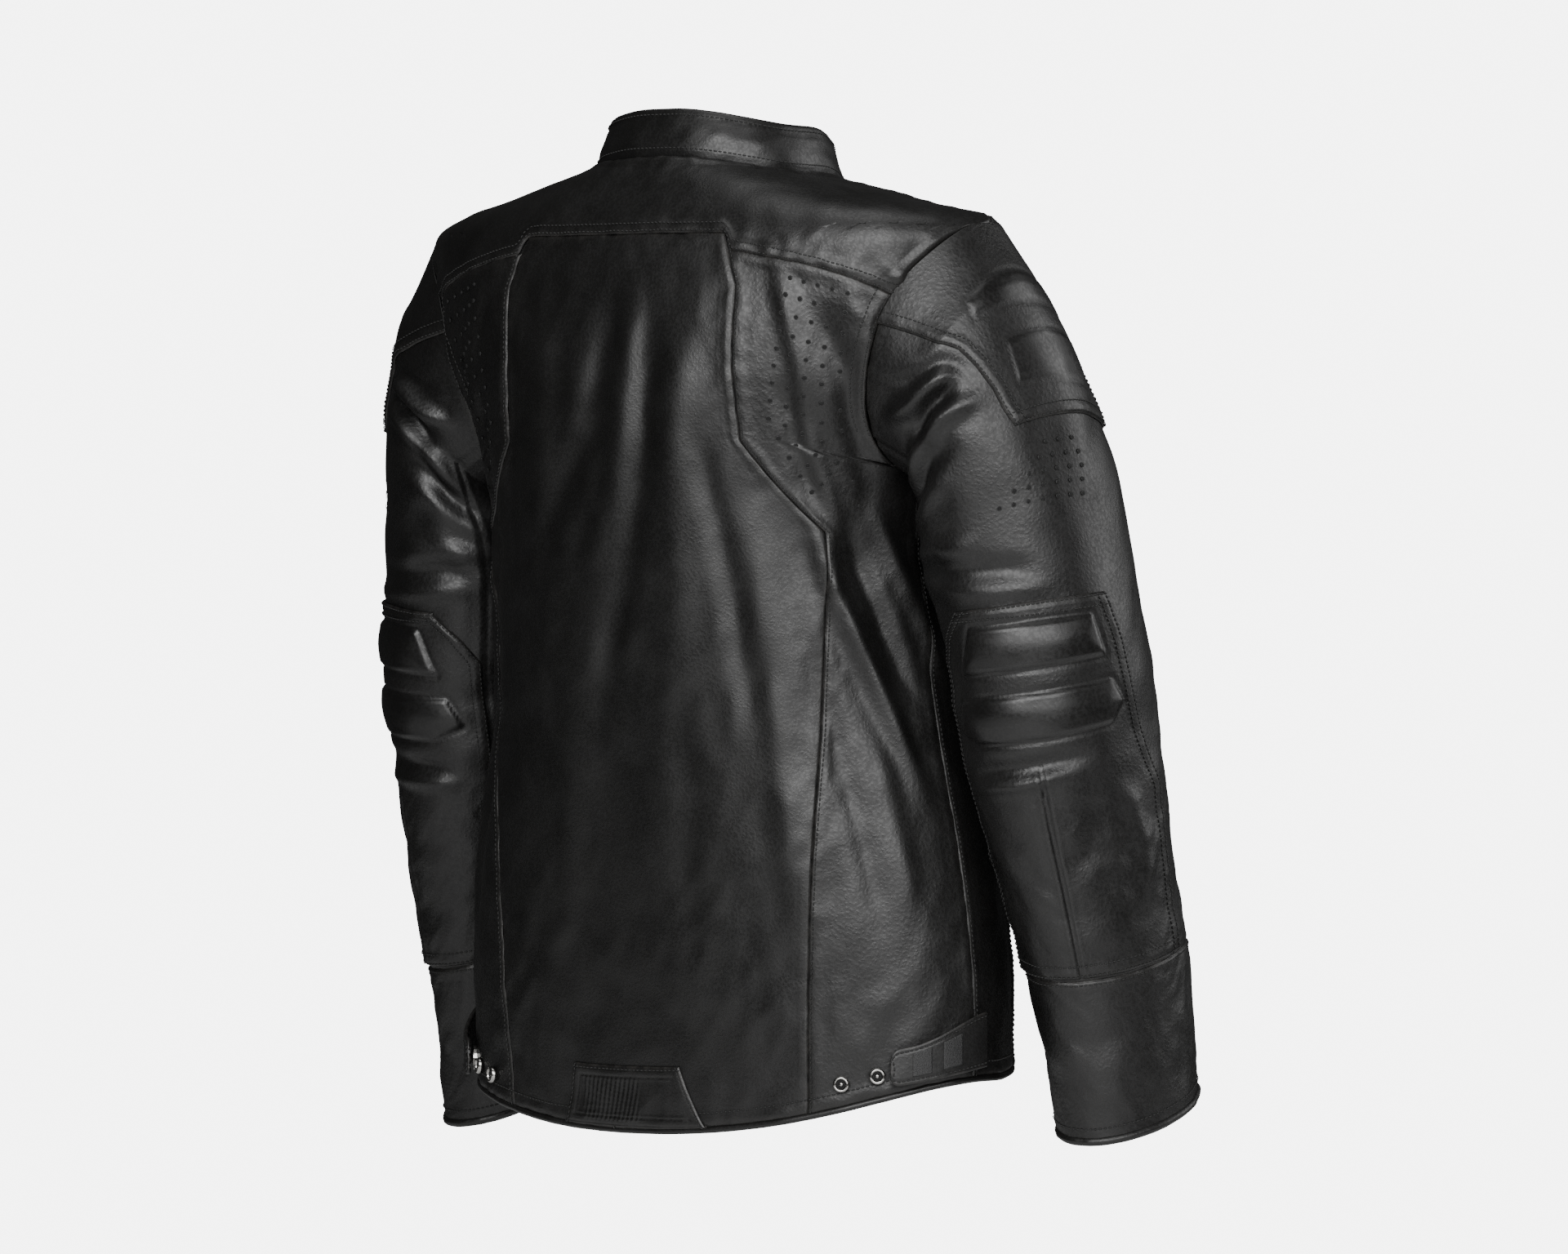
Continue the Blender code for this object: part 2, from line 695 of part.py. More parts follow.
def make_tab(name, line, leather, nickel):
    """A strap from its seam to its free end, with a snap socket under that end round a stud."""
    up = Vector((0, 0, 1))
    lift = 2 * LAYER_GAP + STUD_HEIGHT
    grid = []
    for row in (-1, 0, 1):
        points = []
        for k, (foot, out) in enumerate(line):
            half = TAB_WIDTH / 2 * (TAB_END_SHARE if k == len(line) - 1 else 1)
            points.append(foot + out * (lift + TAB_THICKNESS) + up * (row * half))
        grid.append(points)
    middle = line[len(line) // 2]
    sheet(name, grid, TAB_THICKNESS, leather, middle[0] - middle[1])
    foot, out = line[-2]
    stud(f"{name}_stud", foot, out, HIDDEN_STUD_DIAMETER, STUD_HEIGHT, nickel)
    ring_socket(f"{name}_socket", foot, out, nickel)


def hem_point(x, side):
    """A point on the outside of the body beside the back hem, and the way it faces."""
    angle = angle_at_width(HEM_ROW, x)
    foot = torso(HEM_ROW, side * angle)
    out = normal_of(torso, HEM_ROW, side * angle, torso_inside)
    return foot, Vector((out.x, out.y, 0)).normalized()


def make_hem(leather, nickel):
    """Binding, back patch, ring snaps and adjuster tabs."""
    reach = angle_at_width(HEM, FRONT_EDGE, front=True)
    drop = Vector((0, 0, -HEM_BINDING_DIAMETER / 2 - LAYER_GAP))
    binding = bpy.data.curves.new("hem_binding", "CURVE")
    binding.dimensions = "3D"
    binding.bevel_depth = HEM_BINDING_DIAMETER / 2
    binding.bevel_resolution = 1
    binding.use_fill_caps = True
    run = binding.splines.new("POLY")
    angles = spaced(-reach, reach, 40)
    run.points.add(len(angles) - 1)
    inset = torso_offset(-LEATHER / 2)
    for point, angle in zip(run.points, angles):
        point.co = (*(inset(HEM, angle) + drop), 1)
    new_object("hem_binding", binding, leather)

    def patch_where(t, r):
        low, high = -PATCH_HALF_WIDTH - PATCH_FLARE * (1 - r), PATCH_HALF_WIDTH + PATCH_FLARE * (1 - r)
        width = low + (high - low) * t
        place = PATCH_TOP * r
        return place, -math.copysign(angle_at_width(place, abs(width)), width)

    depth = LAYER_GAP + LEATHER
    body_panel("hem_patch", depth, LEATHER, leather, spaced(0, 1, 2), spaced(0, 1, 10), patch_where)

    for side, tag in SIDES:
        for number, x in enumerate(STUD_PLACES, 1):
            foot, out = hem_point(x, side)
            stud(f"hem_stud_{tag}_{number}", foot, out, STUD_DIAMETER, STUD_HEIGHT, nickel)
        reach = spaced(TAB_SEAM_ANGLE, angle_at_width(HEM_ROW, TAB_END_X), 7)
        line = []
        for angle in reach:
            foot = torso(HEM_ROW, side * angle)
            out = normal_of(torso, HEM_ROW, side * angle, torso_inside)
            line.append((foot, Vector((out.x, out.y, 0)).normalized()))
        make_tab(f"hem_tab_{tag}", line, leather, nickel)


def closure_frame():
    """The middle of the closure, the way down it, and the way it faces."""
    low_z, high_z = height(FRONT_HEM_SHARE), height(FRONT_NECK_SHARE)
    low = Vector((0, -front_depth(low_z), low_z))
    high = Vector((0, -front_depth(high_z), high_z))
    down = (low - high).normalized()
    facing = down.cross(Vector((1, 0, 0))).normalized()
    facing = facing if facing.y < 0 else -facing
    return low, high, down, facing


def make_main_zip(tape, metal):
    """Two tapes, two rows of teeth, a slider and its pull."""
    low, high, down, facing = closure_frame()
    turn = upright_turn(-facing, -down)
    middle = (low + high) / 2
    length = (high - low).length - ZIP_END_GAP
    for side, tag in SIDES:
        across = Vector((side, 0, 0))
        teeth_x = ZIP_CLEARANCE + ZIP_TEETH_WIDTH / 2
        tape_x = 2 * ZIP_CLEARANCE + ZIP_TEETH_WIDTH + ZIP_TAPE_WIDTH / 2
        centre = middle + across * teeth_x - facing * ZIP_DEPTH
        size = (ZIP_TEETH_WIDTH, ZIP_TEETH_THICKNESS, length)
        block(f"zip_teeth_{tag}", size, centre, turn, metal)
        centre = middle + across * tape_x - facing * ZIP_DEPTH
        block(f"zip_tape_{tag}", (ZIP_TAPE_WIDTH, ZIP_TAPE_THICKNESS, length), centre, turn, tape, 0.0002)
    out = ZIP_TEETH_THICKNESS / 2 + ZIP_CLEARANCE + SLIDER_SIZE[1] / 2 - ZIP_DEPTH
    slider = high + down * (ZIP_END_GAP / 2 + SLIDER_SIZE[2] / 2) + facing * out
    block("zip_slider", SLIDER_SIZE, slider, turn, metal)
    forward = SLIDER_SIZE[1] / 2 + ZIP_CLEARANCE + PULL_SIZE[1] / 2
    pull = slider + facing * forward + down * (PULL_SIZE[2] / 2 - PULL_LAP)
    block("zip_pull", PULL_SIZE, pull, turn, metal)


def make_small_zip(name, top, bottom, facing, length, metal, tape):
    """A straight zip laid on the leather, with its slider at the top."""
    down = (bottom - top).normalized()
    facing = (facing - down * facing.dot(down)).normalized()
    turn = upright_turn(-facing, -down)
    middle = (top + bottom) / 2 + facing * (SMALL_ZIP_LIFT + SMALL_ZIP_THICKNESS / 2)
    block(name, (SMALL_ZIP_WIDTH, SMALL_ZIP_THICKNESS, length), middle, turn, tape, 0.0002)
    out = SMALL_ZIP_THICKNESS / 2 + ZIP_CLEARANCE + SMALL_SLIDER_SIZE[1] / 2
    slider = middle - down * (length - SMALL_SLIDER_SIZE[2]) / 2 + facing * out
    block(f"{name}_slider", SMALL_SLIDER_SIZE, slider, turn, metal)


def make_pockets(tape, metal):
    """A zipped hand pocket in each front panel."""
    for side, tag in SIDES:
        top = torso(POCKET_TOP[0], side * angle_at_width(POCKET_TOP[0], POCKET_TOP[1], front=True))
        low = torso(POCKET_LOW[0], side * angle_at_width(POCKET_LOW[0], POCKET_LOW[1], front=True))
        down = (low - top).normalized()
        middle_place = (POCKET_TOP[0] + POCKET_LOW[0]) / 2
        middle_x = (POCKET_TOP[1] + POCKET_LOW[1]) / 2
        angle = side * angle_at_width(middle_place, middle_x, front=True)
        facing = normal_of(torso, middle_place, angle, torso_inside)
        centre = (top + low) / 2
        half = down * (POCKET_ZIP_LENGTH / 2)
        name = f"pocket_zip_{tag}"
        make_small_zip(name, centre - half, centre + half, facing, POCKET_ZIP_LENGTH, metal, tape)


def make_back_protector(foam):
    """The pad in the lining's back pocket."""
    depth = -(ARMOUR_DEPTH + 0.001)

    def where(t, r):
        width = PROTECTOR_HALF_WIDTH * (1 - PROTECTOR_TAPER * abs(2 * r - 1) ** 3)
        place = PROTECTOR_LOW + (PROTECTOR_TOP - PROTECTOR_LOW) * r
        return place, math.copysign(angle_at_width(place, width * abs(t)), t)

    rows, columns = spaced(0, 1, 8), spaced(-1, 1, 6)
    body_panel("back_protector", depth, BACK_PROTECTOR_THICKNESS, foam, rows, columns, where)


def stations_between(low, high, step=0.6):
    """Stations from low to high, about a step apart."""
    return spaced(low, high, max(1, round((high - low) / step)))


def make_sleeve(side, tag, leather, foam, tape, metal):
    """One sleeve: tubes from armhole to cuff, the patches sewn on them, and the armour inside."""
    around = [2 * math.pi * k / SLEEVE_SIDES for k in range(SLEEVE_SIDES)]
    tubes = {
        f"sleeve_head_{tag}": (0.0, ARM_HEAD_END),
        f"upper_sleeve_{tag}": (ARM_HEAD_END, UPPER_END),
        f"elbow_gusset_{tag}": (UPPER_END, GUSSET_END),
        f"forearm_sleeve_{tag}": (GUSSET_END, FOREARM_END),
        f"cuff_{tag}": (FOREARM_END, CUFF_END),
    }
    for name, (low, high) in tubes.items():
        places = stations_between(low + STATION_GAP, high - STATION_GAP)
        sleeve_panel(name, side, 0, LEATHER, leather, places, around, wrap=True)

    over = LAYER_GAP + LEATHER
    step = 2 * math.pi / SLEEVE_SIDES
    cap = [step * k for k in range(-4, 5)]
    places = stations_between(CAP_START, CAP_END)
    sleeve_panel(f"shoulder_cap_{tag}", side, over, LEATHER, leather, places, cap)
    elbow = [step * k for k in range(-1, 7)]
    places = stations_between(PANEL_START, PANEL_END)
    sleeve_panel(f"elbow_panel_{tag}", side, over, LEATHER, leather, places, elbow)

    shoulder = [step * k for k in range(-2, 4)]
    places = stations_between(SHOULDER_ARMOUR[0], SHOULDER_ARMOUR[1])
    name = f"shoulder_armour_{tag}"
    sleeve_panel(name, side, -ARMOUR_DEPTH, LIMB_ARMOUR_THICKNESS, foam, places, shoulder)
    elbow = [step * k for k in range(1, 6)]
    places = stations_between(ELBOW_ARMOUR[0], ELBOW_ARMOUR[1])
    name = f"elbow_armour_{tag}"
    sleeve_panel(name, side, -ARMOUR_DEPTH, LIMB_ARMOUR_THICKNESS, foam, places, elbow)

    surface = sleeve_offset(0, side)
    start, end = surface(CUFF_ZIP[0], CUFF_ZIP_ANGLE), surface(CUFF_ZIP[1], CUFF_ZIP_ANGLE)
    middle = sleeve_middle((CUFF_ZIP[0] + CUFF_ZIP[1]) / 2)
    facing = (start + end) / 2 - Vector((side * middle.x, middle.y, middle.z))
    half = (end - start).normalized() * (CUFF_ZIP_LENGTH / 2)
    centre = (start + end) / 2
    name = f"cuff_zip_{tag}"
    make_small_zip(name, centre - half, centre + half, facing, CUFF_ZIP_LENGTH, metal, tape)


def main():
    """Build the whole jacket."""
    leather = principled("black_leather", (0.018, 0.018, 0.018), 0.42)
    panel_leather = principled("smooth_leather", (0.022, 0.022, 0.022), 0.36)
    lining = principled("lining_cloth", (0.03, 0.03, 0.03), 0.9)
    foam = principled("armour_foam", (0.06, 0.06, 0.065), 0.8)
    nickel = principled("nickel", (0.55, 0.54, 0.52), 0.25, 1.0)
    zip_metal = principled("zip_metal", (0.10, 0.10, 0.10), 0.35, 1.0)
    tape = principled("zip_tape", (0.012, 0.012, 0.012), 0.85)
    make_back(leather)
    make_front(leather)
    make_lining(lining)
    make_collar(leather, lining, nickel)
    make_hem(panel_leather, nickel)
    make_main_zip(tape, zip_metal)
    make_pockets(tape, zip_metal)
    make_back_protector(foam)
    for side, tag in SIDES:
        make_sleeve(side, tag, leather, foam, tape, zip_metal)


clear_scene()
jacket = bpy.data.collections.new("riding_jacket")
bpy.context.scene.collection.children.link(jacket)
main()
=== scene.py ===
"""Looks of the leather riding jacket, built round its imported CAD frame.

The body and the two sleeves are each one smooth form. Panels, patches, seams, stitches and fittings
are laid on those forms, and folds are sculpted into them in code. Metres, +Z up, the front of the
jacket faces -Y and the wearer's left is +X.
"""

import json
import logging
import math
from dataclasses import dataclass, field, replace
from enum import Enum
from itertools import product
from typing import Any, Callable, Iterable, Sequence

import bmesh
import bpy
import numpy as np
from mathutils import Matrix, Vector


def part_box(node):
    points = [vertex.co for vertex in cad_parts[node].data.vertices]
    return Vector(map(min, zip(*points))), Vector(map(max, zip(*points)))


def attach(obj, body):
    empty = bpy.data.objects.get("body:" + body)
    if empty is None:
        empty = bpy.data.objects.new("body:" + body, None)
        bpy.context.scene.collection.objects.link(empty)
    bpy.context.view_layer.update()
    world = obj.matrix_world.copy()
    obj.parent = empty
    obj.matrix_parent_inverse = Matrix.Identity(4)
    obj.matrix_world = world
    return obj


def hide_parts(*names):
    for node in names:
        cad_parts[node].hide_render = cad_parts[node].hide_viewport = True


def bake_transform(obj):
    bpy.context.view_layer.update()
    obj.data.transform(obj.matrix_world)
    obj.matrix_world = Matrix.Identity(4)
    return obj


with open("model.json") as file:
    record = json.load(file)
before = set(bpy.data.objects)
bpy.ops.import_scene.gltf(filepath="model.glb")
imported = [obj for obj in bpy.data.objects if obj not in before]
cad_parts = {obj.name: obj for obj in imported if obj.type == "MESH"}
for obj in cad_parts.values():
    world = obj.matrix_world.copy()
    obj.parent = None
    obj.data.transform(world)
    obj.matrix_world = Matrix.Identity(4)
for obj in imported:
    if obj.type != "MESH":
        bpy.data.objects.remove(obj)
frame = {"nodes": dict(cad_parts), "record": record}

Array = np.ndarray
Piece = bpy.types.Object
Lines = list[tuple[Array, Array]]  # each line: its points and the way the surface faces there
log = logging.getLogger("jacket")

# Overall sizes, the same as the CAD's
BACK_LENGTH = 0.708
SHOULDER_WIDTH = 0.480
SLEEVE_LENGTH = 0.646
ARMHOLE_HEIGHT, ARMHOLE_DEPTH = 0.180, 0.137
ARMHOLE_Y, ARMHOLE_TOP = 0.0335, 0.926
FRONT_HEM_DEPTH, FRONT_NECK_DEPTH = 0.122, 0.062
FRONT_HEM_SHARE, FRONT_NECK_SHARE = 0.103, 0.936
FULLNESS = 2.3

LEATHER = 0.0018
SEAM_ALLOWANCE = 0.0095
BODY_STEP = 0.0032
SLEEVE_STEP = 0.0030
PATCH_STEP = 0.0018
STITCH_PITCH = 0.0036
STITCH_INSETS = (0.0024, 0.0082)

# Rings round the body, hem to neck: width share, side height share, side y, back depth,
# back height share, front height share
LEVELS = np.array(
    [
        (0.925, 0.056, 0.000, 0.120, 0.000, 0.103),
        (0.925, 0.160, 0.000, 0.128, 0.124, 0.195),
        (0.885, 0.273, 0.000, 0.137, 0.266, 0.315),
        (0.808, 0.407, 0.000, 0.146, 0.407, 0.435),
        (0.767, 0.513, 0.000, 0.156, 0.527, 0.541),
        (0.742, 0.605, 0.002, 0.163, 0.626, 0.633),
        (0.770, 0.675, 0.012, 0.168, 0.718, 0.718),
        (0.883, 0.767, 0.020, 0.166, 0.795, 0.795),
        (0.975, 0.859, 0.022, 0.158, 0.866, 0.859),
        (1.000, 0.927, 0.024, 0.146, 0.927, 0.894),
        (0.700, 0.957, 0.026, 0.127, 0.972, 0.922),
        (0.367, 0.983, 0.031, 0.109, 1.000, 0.936),
    ]
)
NECK = 11.0
BACK_SEAM = np.array([0.135, 0.139, 0.144, 0.149, 0.151, 0.150, 0.107, 0.104, 0.104, 0.087])
YOKE_MIDDLE, YOKE_STEP, YOKE_ARMHOLE = 8.85, 8.55, 7.90
YOKE_CORNER = 0.213
BACK_SIDE_SEAM = math.radians(84)
FRONT_SEAM = math.radians(112)
CLOSURE_EDGE = 0.0080

# Rings down the sleeve, armhole to cuff: inner x share, width, inner and outer height shares,
# y, half depth, tilt
STATIONS = np.array(
    [
        (0.833, 0.040, 0.272, 0.000, 0.0335, 0.0685, 0.00),
        (0.821, 0.071, 0.294, 0.067, 0.0240, 0.0760, 0.00),
        (0.800, 0.098, 0.316, 0.152, 0.0120, 0.0820, 0.00),
        (0.783, 0.118, 0.344, 0.237, 0.0000, 0.0850, 0.00),
        (0.775, 0.128, 0.376, 0.319, -0.0080, 0.0850, 0.02),
        (0.788, 0.132, 0.427, 0.407, -0.0160, 0.0840, 0.06),
        (0.817, 0.131, 0.492, 0.489, -0.0230, 0.0830, 0.10),
        (0.833, 0.128, 0.570, 0.573, -0.0330, 0.0810, 0.14),
        (0.868, 0.119, 0.644, 0.650, -0.0440, 0.0790, 0.18),
        (0.915, 0.108, 0.737, 0.743, -0.0580, 0.0750, 0.22),
        (0.955, 0.098, 0.847, 0.861, -0.0760, 0.0700, 0.28),
        (0.995, 0.090, 0.990, 1.000, -0.0910, 0.0620, 0.35),
    ]
)
SLEEVE_JOIN, CUFF_SEAM, CUFF_END = 5.3, 9.71, 11.0


class Side(Enum):
    """The wearer's sides, as the sign of their x."""

    LEFT = 1
    RIGHT = -1

    @property
    def tag(self) -> str:
        """The word that names end in."""
        return self.name.lower()


class Slot(Enum):
    """The record's material slots."""

    LEATHER = "black_leather"
    SMOOTH = "smooth_leather"
    LINING = "lining_cloth"
    FOAM = "armour_foam"
    NICKEL = "nickel"
    ZIP = "zip_metal"
    TAPE = "zip_tape"


# ---------------------------------------------------------------- numbers and noise


def along_column(column: Array, place: Array) -> Array:
    """Reads a column of a table at fractional places, on a smooth curve through its values.

    Args:
        column: the values at whole places.
        place: where to read it.

    Returns:
        One value for each place.
    """
    last = len(column) - 1
    place = np.clip(place, 0.0, last)
    low = np.minimum(place.astype(int), last - 1)
    step = place - low
    before, start, end, after = (column[np.clip(low + k, 0, last)] for k in (-1, 0, 1, 2))
    rise_start, rise_end = 0.5 * (end - before), 0.5 * (after - start)
    square, cube = step * step, step**3
    return (
        (2 * cube - 3 * square + 1) * start
        + (cube - 2 * square + step) * rise_start
        + (3 * square - 2 * cube) * end
        + (cube - square) * rise_end
    )


def smoothstep(value: Array, low: float, high: float) -> Array:
    """Rises smoothly from 0 at low to 1 at high."""
    share = np.clip((value - low) / (high - low), 0.0, 1.0)
    return share * share * (3 - 2 * share)


def hump(value: Array, middle: float, width: float) -> Array:
    """A bell that is 1 at its middle and falls away over a width."""
    return np.exp(-(((value - middle) / width) ** 2))


def distances(points: Array) -> Array:
    """How far along a line each of its points is."""
    return np.concatenate([[0], np.linalg.norm(np.diff(points, axis=0), axis=1).cumsum()])


def read_at(where: Array, run: Array, values: Array) -> Array:
    """Vectors kept along a line, read at some distances."""
    return np.stack([np.interp(where, run, values[:, k]) for k in range(3)], -1)


def unit(vectors: Array) -> Array:
    """The same directions with length 1."""
    return vectors / np.maximum(np.linalg.norm(vectors, axis=-1, keepdims=True), 1e-9)


def bisect(test: Callable[[Array], Array], low: Array, high: Array) -> Array:
    """Where a test turns true between low and high, for many at once."""
    for _ in range(26):
        middle = (low + high) / 2
        hit = test(middle)
        high, low = np.where(hit, middle, high), np.where(hit, low, middle)
    return (low + high) / 2


def perlin(points: Array, seed: int) -> Array:
    """Smooth noise, about -1 to 1, one wave to a unit.

    Args:
        points: (..., 3) places.
        seed: picks the pattern.

    Returns:
        One value for each point.
    """
    chance = np.random.default_rng(seed)
    order = chance.permutation(256)
    slopes = unit(chance.normal(size=(256, 3)))
    cell = np.floor(points).astype(int)
    local = points - cell
    fade = local**3 * (local * (local * 6 - 15) + 10)
    total = np.zeros(points.shape[:-1])
    for corner in product((0, 1), repeat=3):
        key = np.zeros(points.shape[:-1], int)
        for axis in range(3):
            key = order[(key + cell[..., axis] + corner[axis]) & 255]
        weight = np.where(np.array(corner) == 1, fade, 1 - fade).prod(-1)
        total += weight * (slopes[key] * (local - np.array(corner))).sum(-1)
    return total * 1.6


def nearest_on_path(points: Array, path: Array) -> tuple[Array, Array]:
    """The distance from each point to a path, and the share of its length where it is nearest."""
    steps = np.diff(path, axis=0)
    lengths = np.linalg.norm(steps, axis=1)
    before = np.concatenate([[0.0], np.cumsum(lengths)[:-1]])
    best = np.full(len(points), np.inf)
    share = np.zeros(len(points))
    for start, step, length, passed in zip(path, steps, lengths, before):
        along = np.clip((points - start) @ step / length**2, 0, 1)
        away = np.linalg.norm(points - start - along[:, None] * step, axis=1)
        closer = away < best
        best = np.where(closer, away, best)
        share = np.where(closer, passed + along * length, share)
    return best, share / lengths.sum()


def inside_distance(points: Array, outline: Array) -> Array:
    """How far each flat point is inside an outline: positive inside, negative outside."""
    best = np.full(points.shape[:-1], np.inf)
    odd = np.zeros(points.shape[:-1], bool)
    for start, end in zip(outline, np.roll(outline, -1, axis=0)):
        run = end - start
        along = np.clip(((points - start) @ run) / (run @ run), 0, 1)
        best = np.minimum(best, np.linalg.norm(points - start - along[..., None] * run, axis=-1))
        spans = (start[1] > points[..., 1]) != (end[1] > points[..., 1])
        rise = run[1] if abs(run[1]) > 1e-12 else 1e-12
        cross = start[0] + run[0] * (points[..., 1] - start[1]) / rise
        odd ^= spans & (points[..., 0] < cross)
    return np.where(odd, best, -best)


def shares(length: float, step: float, edges: bool = True) -> Array:
    """Shares from 0 to 1 across a length, closer together at the two edges.

    Args:
        length: the length that they cross, metres.
        step: the usual distance between two.
        edges: whether the rows crowd at the ends, so that an edge can be rounded.

    Returns:
        Rising values from 0 to 1.
    """
    if not edges:
        return np.linspace(0, 1, max(2, round(length / step) + 1))
    near = np.array([0.0, 0.0005, 0.0011, 0.0018, 0.0030]) / length
    inner = np.linspace(near[-1], 1 - near[-1], max(2, round(length / step)))
    return np.concatenate([near[:-1], inner, 1 - near[:-1][::-1]])


# ---------------------------------------------------------------- folds and surfaces


@dataclass(frozen=True)
class Fold:
    """A ridge (positive height) or valley (negative) along a line on a surface.

    points are (level or station, degrees) pairs; width is from its crest to where it has died
    away; shoulder is how deep the trough beside it is, as a share of its height.
    """

    points: tuple[tuple[float, float], ...]
    height: float
    width: float
    shoulder: float = 0.35
    fade: float = 0.30

    def relief(self, surface: "Surface", points: Array) -> Array:
        """How far this fold lifts each point."""
        ends = np.array(self.points, float)
        place = np.linspace(0, len(ends) - 1, 6 * len(ends))
        path = surface.point(along_column(ends[:, 0], place), np.radians(along_column(ends[:, 1], place)))
        reach = 2.6 * self.width
        near = ((points > path.min(0) - reach) & (points < path.max(0) + reach)).all(-1)
        lift = np.zeros(len(points))
        away, share = nearest_on_path(points[near], path)
        square = (away / self.width) ** 2
        profile = np.exp(-square) * (1 - self.shoulder * square * 2)
        ends_fade = smoothstep(share, 0, self.fade) * smoothstep(1 - share, 0, self.fade)
        lift[near] = self.height * profile * ends_fade
        return lift


@dataclass
class Surface:
    """A form that leather is laid on, with its folds."""

    folds: tuple[Fold, ...] = ()
    low: float = 0.0
    high: float = 11.0

    def point(self, place: Array, angle: Array) -> Array:
        """Points on the bare form."""
        raise NotImplementedError

    def drape(self, points: Array, place: Array, angle: Array) -> Array:
        """The small unevenness all over, apart from the folds."""
        raise NotImplementedError

    def normal(self, place: Array, angle: Array) -> Array:
        """The way the bare form faces."""
        step = 0.02
        down, up = np.clip(place - step, self.low, self.high), np.clip(place + step, self.low, self.high)
        rise = self.point(up, angle) - self.point(down, angle)
        across = self.point(place, angle + step) - self.point(place, angle - step)
        return unit(np.cross(rise, across))

    def relief(self, points: Array, place: Array, angle: Array) -> Array:
        """How far folds and drape lift the form."""
        flat = points.reshape(-1, 3)
        total = sum((fold.relief(self, flat) for fold in self.folds), np.zeros(len(flat)))
        return total.reshape(points.shape[:-1]) + self.drape(points, place, angle)

    def skin(self, place: Array, angle: Array, lift: Array | float = 0.0) -> Array:
        """Points on the folded surface, moved outwards by lift."""
        place, angle = np.broadcast_arrays(np.asarray(place, float), np.asarray(angle, float))
        points = self.point(place, angle)
        total = self.relief(points, place, angle) + lift
        return points + self.normal(place, angle) * np.asarray(total)[..., None]


def height(share: Array | float) -> Array | float:
    """A share of the back length, as a height."""
    return (share - 1) * BACK_LENGTH


def front_depth(z: Array) -> Array:
    """How far the closure lies in front of the wearer's axis at a height: a straight line."""
    low, high = height(FRONT_HEM_SHARE), height(FRONT_NECK_SHARE)
    return FRONT_HEM_DEPTH + (FRONT_NECK_DEPTH - FRONT_HEM_DEPTH) * (z - low) / (high - low)


def half_width(place: Array) -> Array:
    """Half the width of the body at a level."""
    return along_column(LEVELS[:, 0], np.asarray(place, float)) * SHOULDER_WIDTH / 2


def angle_at_width(place: Array, x: Array, front: bool = False) -> Array:
    """The angle where a level is x wide of the middle."""
    share = np.clip(np.abs(x) / half_width(place), 0, 1) ** (FULLNESS / 2)
    angle = np.arcsin(share)
    return (math.pi - angle if front else angle) * np.where(np.asarray(x) < 0, -1, 1)


